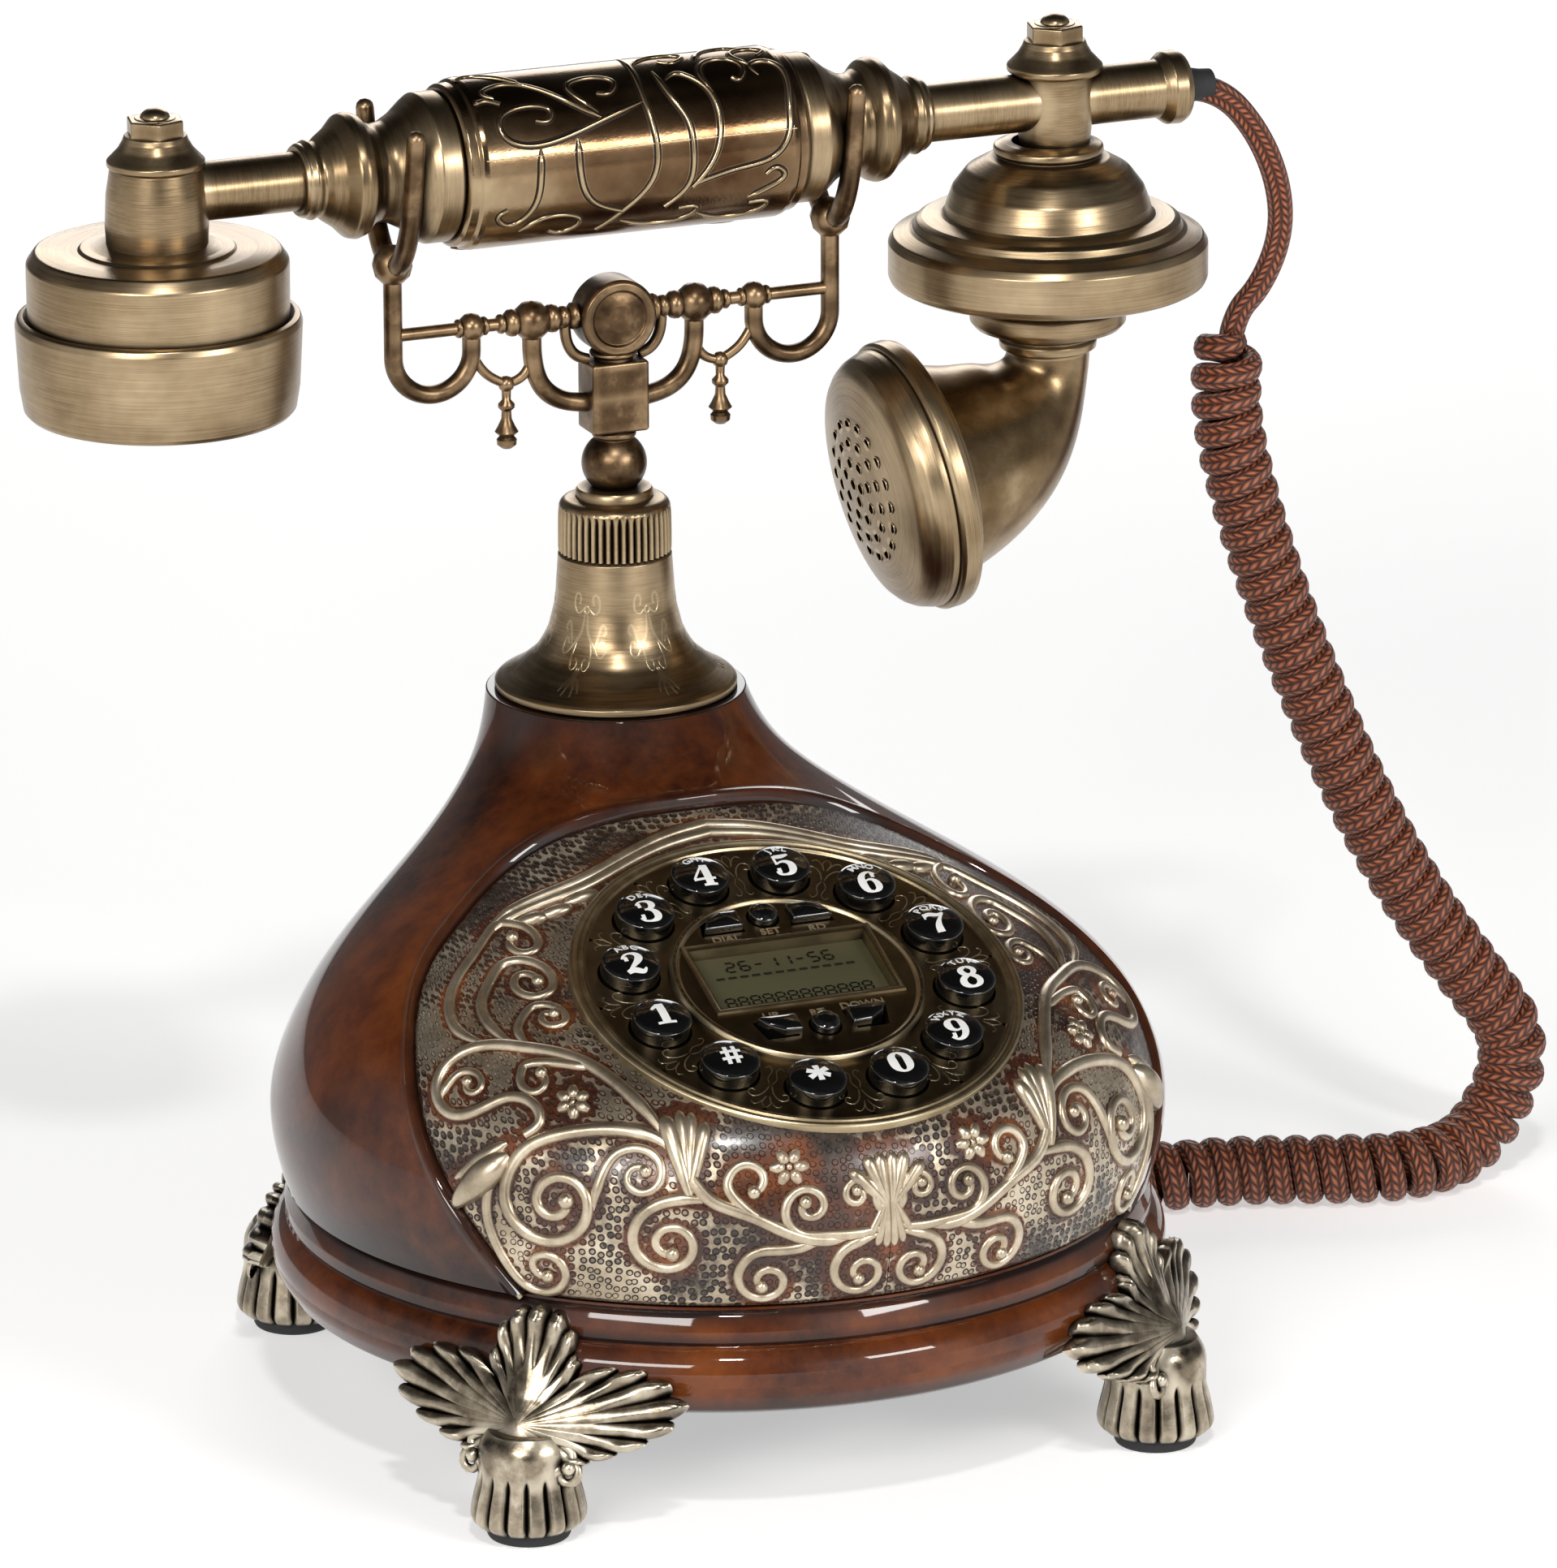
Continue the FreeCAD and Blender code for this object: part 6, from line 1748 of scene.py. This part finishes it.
def lying(piece, x, material="brass", replaces=(), flip=False):
    """A turned piece laid along the handset, its foot at x."""
    turn = Matrix.Rotation(-math.pi / 2, 4, "Y") if flip else ALONG
    stand(piece, x, NECK_Y, AXIS_Z, turn)
    return finish(piece, "handset", material, replaces)


def make_handset():
    """The through tube, its bells and the parts on it."""
    tube = lathe("handset_tube_brushed", [(6.55, 0), (6.6, 30), (6.6, 235.6), (7.2, 236.2, 0.4),
                                          (8.3, 237.6, 0.8),
                                          (8.4, 240.6, 0.8), (7.6, 242.0, 0.6), (6.2, 242.6, 0.4),
                                          (5.4, 242.4, 0.3),
                                          (5.2, 241.6), (3.4, 241.6)], 72)
    relief = lathe("lead_relief", [(4.2, 241.5), (4.1, 243.6, 0.6), (3.5, 246.6, 0.5), (3.3, 249.4, 0.4),
                                   (0, 249.6)], 40)
    lying(relief, -103, material="rubber")
    lying(tube, -103, replaces=("handset_tube",))
    bell = [(10, 0), (16.4, 0), (16.9, 0.8, 0.6), (16.9, 5.4, 1.2), (15.8, 7.0, 1.0), (13.2, 10.2, 4),
            (11.2, 13.8, 4),
            (10.9, 16.2, 2), (11.7, 18.0, 1.5), (13.6, 19.8, 1.5), (14.2, 21.6, 1.6), (13.8, 23.4, 1.6),
            (11.4, 25.8, 2.5),
            (9.6, 28.4, 2.5), (8.5, 29.6, 0.5), (8.3, 30.2, 0.2), (9.1, 31.5, 0.9), (8.3, 32.8, 0.2),
            (8.3, 33.4, 0.3),
            (7.8, 34.2, 0.3), (6.7, 34.2)]
    for side, name in ((-1, "bell_left"), (1, "bell_right")):
        piece = lathe(name + "_brushed", bell, 120)
        lying(piece, side * 40.9, replaces=(name,), flip=side < 0)
    make_grip()
    make_head(-1, "ear_elbow", [(11.2, 260.6), (11.5, 266, 8), (11.2, 273, 8), (10.3, 278.6, 0.4)])
    make_head(1, "mouth_elbow", [(8.0, 262.6), (8.2, 264.0, 0.5), (8.9, 271, 4), (8.5, 278.6, 0.4)])
    make_earpiece()
    make_transmitter()
    make_mouthpiece()


def make_head(side, node, barrel):
    """The upright that crosses the tube: barrel, flanged cap, hexagon nut and button."""
    profile = barrel + [(10.2, 278.9, 0.2), (10.9, 279.5, 0.5), (10.9, 280.6, 0.6), (10.0, 281.5, 0.8),
                        (8.4, 283.2, 4),
                        (7.4, 285.0, 1), (6.9, 286.3, 0.3), (5.6, 286.5)]
    piece = lathe(node + "_brushed", profile, 96)
    finish(stand(piece, side * HEAD_X, NECK_Y, 0), "handset", "brass", (node,))
    turns = [math.radians(60 * k + 18) for k in range(6)]
    corners = [(6.7 * math.cos(a), 6.7 * math.sin(a)) for a in turns]
    nut = prism(node + "_nut", rounded(corners, 0.5), 285.9, 290.0, soft=0.5)
    finish(stand(nut, side * HEAD_X, NECK_Y, 0), "handset", "brass_bright")
    crown = lathe(node + "_crown", [(4.6, 289.8), (4.6, 290.2, 0.2), (3.5, 290.3, 0.1)]
                  + [(3.4 * math.cos(math.radians(a)), 289.9 + 2.4 * math.sin(math.radians(a)), 0)
                     for a in range(10, 91, 10)], 48)
    finish(stand(crown, side * HEAD_X, NECK_Y, 0), "handset", "brass_bright")


def make_earpiece():
    """The can under the left upright and its screwed cap with the listening holes."""
    can = lathe("earpiece_can_brushed", [(29.0, 245.2), (29.1, 257.6, 1.6), (27.2, 260.3, 1.2),
                                         (22.0, 260.6, 4), (17.6, 260.4, 0.2),
                                         (17.0, 261.0, 0.3), (14.6, 261.0, 3), (10.9, 261.8)], 160)
    finish(stand(can, -HEAD_X, NECK_Y, 0), "handset", "brass", ("earpiece_can",))
    low = EAR_Z
    cap = lathe("earpiece_cap_brushed", [(0, low), (26.0, low, 0.3), (26.6, low + 0.5, 0.3),
                                         (29.2, low + 0.1, 0.5),
                                         (30.2, low + 1.2, 0.6), (31.0, low + 6, 8), (31.8, low + 20.4,
                                                                                      0.8),
                                         (31.3, low + 21.9, 0.7), (30.0, low + 22.3, 0.4),
                                         (29.0, low + 21.6)], 180)
    finish(stand(cap, -HEAD_X, NECK_Y, 0), "handset", "brass", ("earpiece_cap",))
    holes = [(0, 0)]
    for radius, count in ((5, 6), (10, 12)):
        holes += [(radius * math.cos(TAU * k / count),
                   radius * math.sin(TAU * k / count)) for k in range(count)]
    add_pits("earpiece_holes", holes, 1.0, at(-HEAD_X, NECK_Y, low), Matrix.Rotation(math.pi, 4, "X"))


def add_pits(name, holes, radius, place, turn, heights=None):
    """Holes shown as near-black cups of painted shade, each inside a thin rolled lip that stands on the
    surface.
    """
    pits, lips = ([], []), ([], [])
    for index, (x, y) in enumerate(holes):
        z = heights[index] if heights else 0.0
        rings = (pits, ((radius, 0.05), (radius * 0.5, 0.06), (0.001, 0.06))), (
            lips, ((radius * 1.25, -0.1), (radius * 1.2, 0.08), (radius * 1.08, 0.12), (radius * 0.97,
                                                                                        0.04)))
        for (points, faces), levels in rings:
            first = len(points)
            for r, h in levels:
                points += [(x + r * math.cos(TAU * k / 20), y + r * math.sin(TAU * k / 20),
                            z + h) for k in range(20)]
            faces += [tuple(first + i for i in f) for f in grid_faces(len(levels), 20, close_columns=True)]
    for (points, faces), kind, material in ((pits, "_dark", "hole_painted_shade"), (lips, "_lips", "brass_bright")):
        piece = mesh(name + kind, points, faces)
        piece.matrix_world = Matrix.Translation(place) @ turn
        finish(piece, "handset", material)


def make_transmitter():
    """The domed disc and the turned rings under it, a little left of the upright's own axis."""
    dome = lathe("transmitter_dome_brushed", [
        (9.2, 213.8), (9.6, 214.4, 0.3), (11.0, 214.9, 0.5), (11.2, 216.6, 0.6), (10.4, 217.6, 0.4),
        (11.6, 218.2, 0.3),
        (12.2, 219.0, 0.3), (16.6, 219.8, 0.5), (17.8, 221.2, 0.8), (17.8, 224.4, 0.8), (16.6, 225.6, 0.4),
        (22.0, 227.6, 2.5), (30.6, 229.2, 3), (34.4, 230.0, 0.8), (35.8, 230.8, 0.5), (36.3, 232.0, 0.6),
        (36.3, 239.6, 0.8), (35.2, 241.4, 0.9), (31.6, 242.6, 0.7), (30.6, 243.2, 0.4), (30.0, 244.8, 0.5),
        (28.6, 245.6, 0.6), (24.4, 246.0, 0.4), (23.6, 246.6, 0.4), (23.2, 248.6, 3), (21.8, 252.4, 3),
        (18.6, 256.6, 4), (13.8, 259.3, 2), (12.2, 259.6, 0.4), (11.6, 259.9, 0.3), (12.6, 260.8, 0.6),
        (12.4, 262.2, 0.7), (10.4, 262.9, 0.4), (8.4, 263.0)], 200)
    finish(stand(dome, DOME_X, NECK_Y, 0), "handset", "brass", ("transmitter_dome",))


DOME_X = 106.2
HORN_RINGS = ((106.4, 215.4, 9.4, -90), (106.1, 211.8, 9.5, -99), (104.9, 207.6, 10.4, -113),
              (102.0, 202.4, 13.4, -132), (97.4, 197.2, 17.2, -149), (91.0, 192.8, 20.4, -160),
              (84.6, 190.2, 22.8, -166.5), (78.8, 188.9, 24.8, -169.7), (76.2, 188.6, 25.8, -169.7))
MOUTH_X, MOUTH_Z, MOUTH_TILT = 70.9, 187.7, math.radians(10.3)


def mouth_crown(r):
    """Height of the pierced cap above the mouth ring at a distance from its middle."""
    return 11.8 - 0.0058 * r ** 2


def make_mouthpiece():
    """The bent horn, its rolled mouth ring and the domed, pierced cap."""
    rings = np.array(HORN_RINGS)
    steps = np.linspace(0, len(rings) - 1, 60)
    columns = [spline(range(len(rings)), rings[:, k])(steps) for k in range(4)]
    points, sides = [], 96
    for x, z, radius, heading in zip(*columns):
        a = math.radians(heading)
        up = np.array([-math.sin(a), 0, math.cos(a)])
        for s in range(sides):
            b = TAU * s / sides
            points.append(np.array([x, 0, z]) + radius * (math.cos(b) * up + math.sin(b) * np.array([0, 1,
                                                                                                     0])))
    horn = mesh("horn_spun", points, grid_faces(60, sides, close_columns=True), sharp=50)
    finish(stand(horn, 0, NECK_Y, 0), "handset", "brass_bright", ("horn",))
    turn = Matrix.Rotation(-math.pi / 2 - MOUTH_TILT, 4, "Y")
    ring = lathe("mouth_ring", [(25.2, -7.6), (26.4, -7.2, 0.4), (27.0, -6.4, 0.4), (27.4, -5.6, 0.2),
                                (29.8, -5.5, 0.3),
                                (30.9, -5.0, 0.5), (31.4, -3.6, 0.6), (31.4, -0.8, 0.5), (30.8, 0.0, 0.4),
                                (29.7, 0.1, 0.15)], 180)
    crown = [(r, mouth_crown(r), 0) for r in (26.4, 25, 23, 20, 17, 14, 11, 8, 5, 2.5, 0)]
    cap = lathe("mouth_cap", [(29.7, -0.4), (30.2, 0.5, 0.4), (30.1, 1.8, 1), (29.2, 4.6, 3),
                              (28.0, 6.4, 1)] + crown, 160)
    for piece in (ring, cap):
        stand(piece, MOUTH_X, NECK_Y, MOUTH_Z, turn)
        finish(piece, "handset", "brass")
    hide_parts("mouthpiece_cap")
    holes, heights = [], []
    for radius, count in ((2.4, 3), (6.6, 8), (11.0, 13), (15.4, 18)):
        for k in range(count):
            a = TAU * (k + 0.5) / count
            holes.append((radius * math.cos(a), radius * math.sin(a)))
            heights.append(mouth_crown(radius))
    add_pits("mouth_holes", holes, 1.25, at(MOUTH_X, NECK_Y, MOUTH_Z), turn, heights)


GRIP_R = 19.3
# vines on one half of the grip: (mm along it from its middle, degrees from the top towards the front)
GRIP_VINES = (
    ((2.5, -8), (2.6, 20), (2.5, 45), (3.4, 75), (2.0, 100), (-4.0, 122), (-9.0, 140)),
    ((2.5, 45), (-8, 55), (-25, 68), (-32, 60), (-32, 47), (-25, 40), (-20, 45), (-21, 52), (-24, 51)),
    ((-8, 55), (-16, 38), (-23, 22), (-30, 18), (-34, 25), (-32, 31)),
    ((-9, 50), (-14, 27), (-8, 20), (-3, 27), (-5, 36), (-8, 35)),
    ((-37, 34), (-34, 32), (-31, 36)),
    ((-24, 20), (-29, 6), (-35, -2), (-38, 4)),
    ((7, 20), (9, 45), (11.5, 62), (12, 85), (11, 105), (6, 122)),
    ((9, 30), (12, 25), (15, 30), (18, 42), (19, 65), (17, 88), (12, 108)),
    ((19, 44), (17.5, 30), (20, 16), (26, 16), (28, 27), (26, 36), (24.5, 34)),
    ((31, 34), (30, 24), (34, 22), (37, 34), (36, 60), (35, 78), (31, 92), (22, 98), (13, 105)),
    ((30, 24), (27, 10), (31, 2), (35, 8), (33, 14)),
    ((4, 8), (10, -2), (16, 4), (13, 12), (10, 8)),
    ((18, 14), (21, 0), (27, -6), (30, 0)),
    ((-24, 70), (-24.5, 90), (-26, 112), (-31, 124), (-34, 116), (-32, 111)),
    ((-15, 66), (-15, 90), (-12, 110), (-4, 122)),
    ((-28, 132), (-22, 120), (-14, 126), (-17, 138), (-21, 134)),
    ((26, 122), (31, 114), (34, 106), (32, 100), (29.5, 104)),
    ((-4, 132), (4, 140), (12, 136), (14, 126), (9.5, 125)),
    ((14, 132), (21, 142), (29, 138), (31, 128), (26.5, 127)),
)


def grip_chart(x, s):
    """Grip surface: x along it, s millimetres round it from the top towards the front."""
    angle = np.asarray(s, float) / GRIP_R
    spots = np.stack([x + 0 * angle, -GRIP_R * np.sin(angle), GRIP_R * np.cos(angle)], -1)
    return spots, np.stack([0 * angle, -np.sin(angle), np.cos(angle)], -1)


def grip_vines(half):
    """The vines as strokes of a half width, on the front half of the grip and again on the back."""
    strokes = []
    for vine in GRIP_VINES:
        for turn in (0, math.pi):
            line = [(x, (math.radians(a) + turn) * GRIP_R) for x, a in vine]
            strokes.append(stroke(line, half, tip=0.75, count=12 * len(line)))
    return strokes


def make_grip():
    """The cast sleeve, its vines over dark ribbons of painted shadow, and its two seams."""
    profile = [(12, 0), (17.4, 0.0), (18.2, 0.7, 0.5), (18.3, 2.6, 0.3), (19.0, 3.2, 0.4), (19.3, 4.4, 0.6),
               (19.3, 40.8)]
    profile += [(r, 81.6 - z, *rest) for r, z, *rest in reversed(profile[:-1])]
    sleeve = lathe("grip_sleeve_cast", profile, 128)
    lying(sleeve, -40.8, material="grip_bronze", replaces=("grip_sleeve",))
    # a wide dark ribbon under each vine is painted shadow along its sides
    for name, half, height, material in (("grip_painted_shadows", 1.15, 0.10, "grip_shadow"),
                                         ("grip_vines", 0.62, 1.1, "grip_bronze")):
        vines = raise_strokes(name, grip_vines(half), grip_chart, height=height, sides=6, sink=0.04,
                              mirror=False)
        finish(stand(vines, 0, NECK_Y, AXIS_Z), "handset", material)
    seams = []
    for angle in (75, 255):
        line = np.stack([np.linspace(-37, 37, 40), np.full(40, math.radians(angle) * GRIP_R)], 1)
        seams.append((line, np.full(40, 0.2), 0.0))
    seam = raise_strokes("grip_seam", seams, grip_chart, height=0.6, sides=3, sink=0.03, mirror=False)
    finish(stand(seam, 0, NECK_Y, AXIS_Z), "handset", "grip_bronze")


# ---- details at the back -------------------------------------------------------------------------

PLUG_X, PLUG_Z = -8.0, 38.5


def make_plug():
    """The clear plug in the handset jack and the ribbed relief on the cord."""
    shell = prism("plug_shell", rounded([(-4.6, -3.3), (4.6, -3.3), (4.6, 3.3), (-4.6, 3.3)], 0.6), 92.0,
                  113.2, soft=0.6)
    turn = Matrix.Rotation(-math.pi / 2, 4, "X")
    shell.matrix_world = Matrix.Translation(at(PLUG_X, 0, PLUG_Z)) @ turn
    finish(shell, "base", "clear", ("cord_plug",))
    ribs = [(1.0, 110.0), (3.4, 110.0, 0.3)]
    for k in range(4):
        z = 111.2 + k * 1.3
        ribs += [(3.5, z, 0.15), (3.5, z + 0.7, 0.15), (2.9, z + 0.8, 0.1), (2.9, z + 1.2, 0.1)]
    ribs += [(2.6, 116.6, 0.1), (1.0, 116.6)]
    sleeve = lathe("plug_relief", ribs, 40)
    sleeve.matrix_world = Matrix.Translation(at(PLUG_X, 0, PLUG_Z)) @ turn
    finish(sleeve, "base", "black_plastic")


def make_floor():
    """A pale paper floor."""
    floor = mesh("floor", [(-4000, -4000, 0), (4000, -4000, 0), (4000, 4000, 0), (-4000, 4000, 0)],
                 [(0, 1, 2, 3)])
    paint = Paint("paper")
    paint.set(Base_Color=paint.mix(paint.noise(0.8, 2), (0.84, 0.84, 0.84), (0.88, 0.88, 0.88)),
              Roughness=0.8,
              Emission_Color=(0.9, 0.9, 0.9, 1), Emission_Strength=0.5)
    floor.data.materials.append(paint.material)


add_camera()
add_studio()
make_materials()
paint_cad()
make_cord()
make_floor()
make_body()
make_relief()
make_dial()
make_digit_keys()
make_small_keys()
make_plinth()
make_feet()
make_collar()
make_cradle()
make_handset()
make_plug()
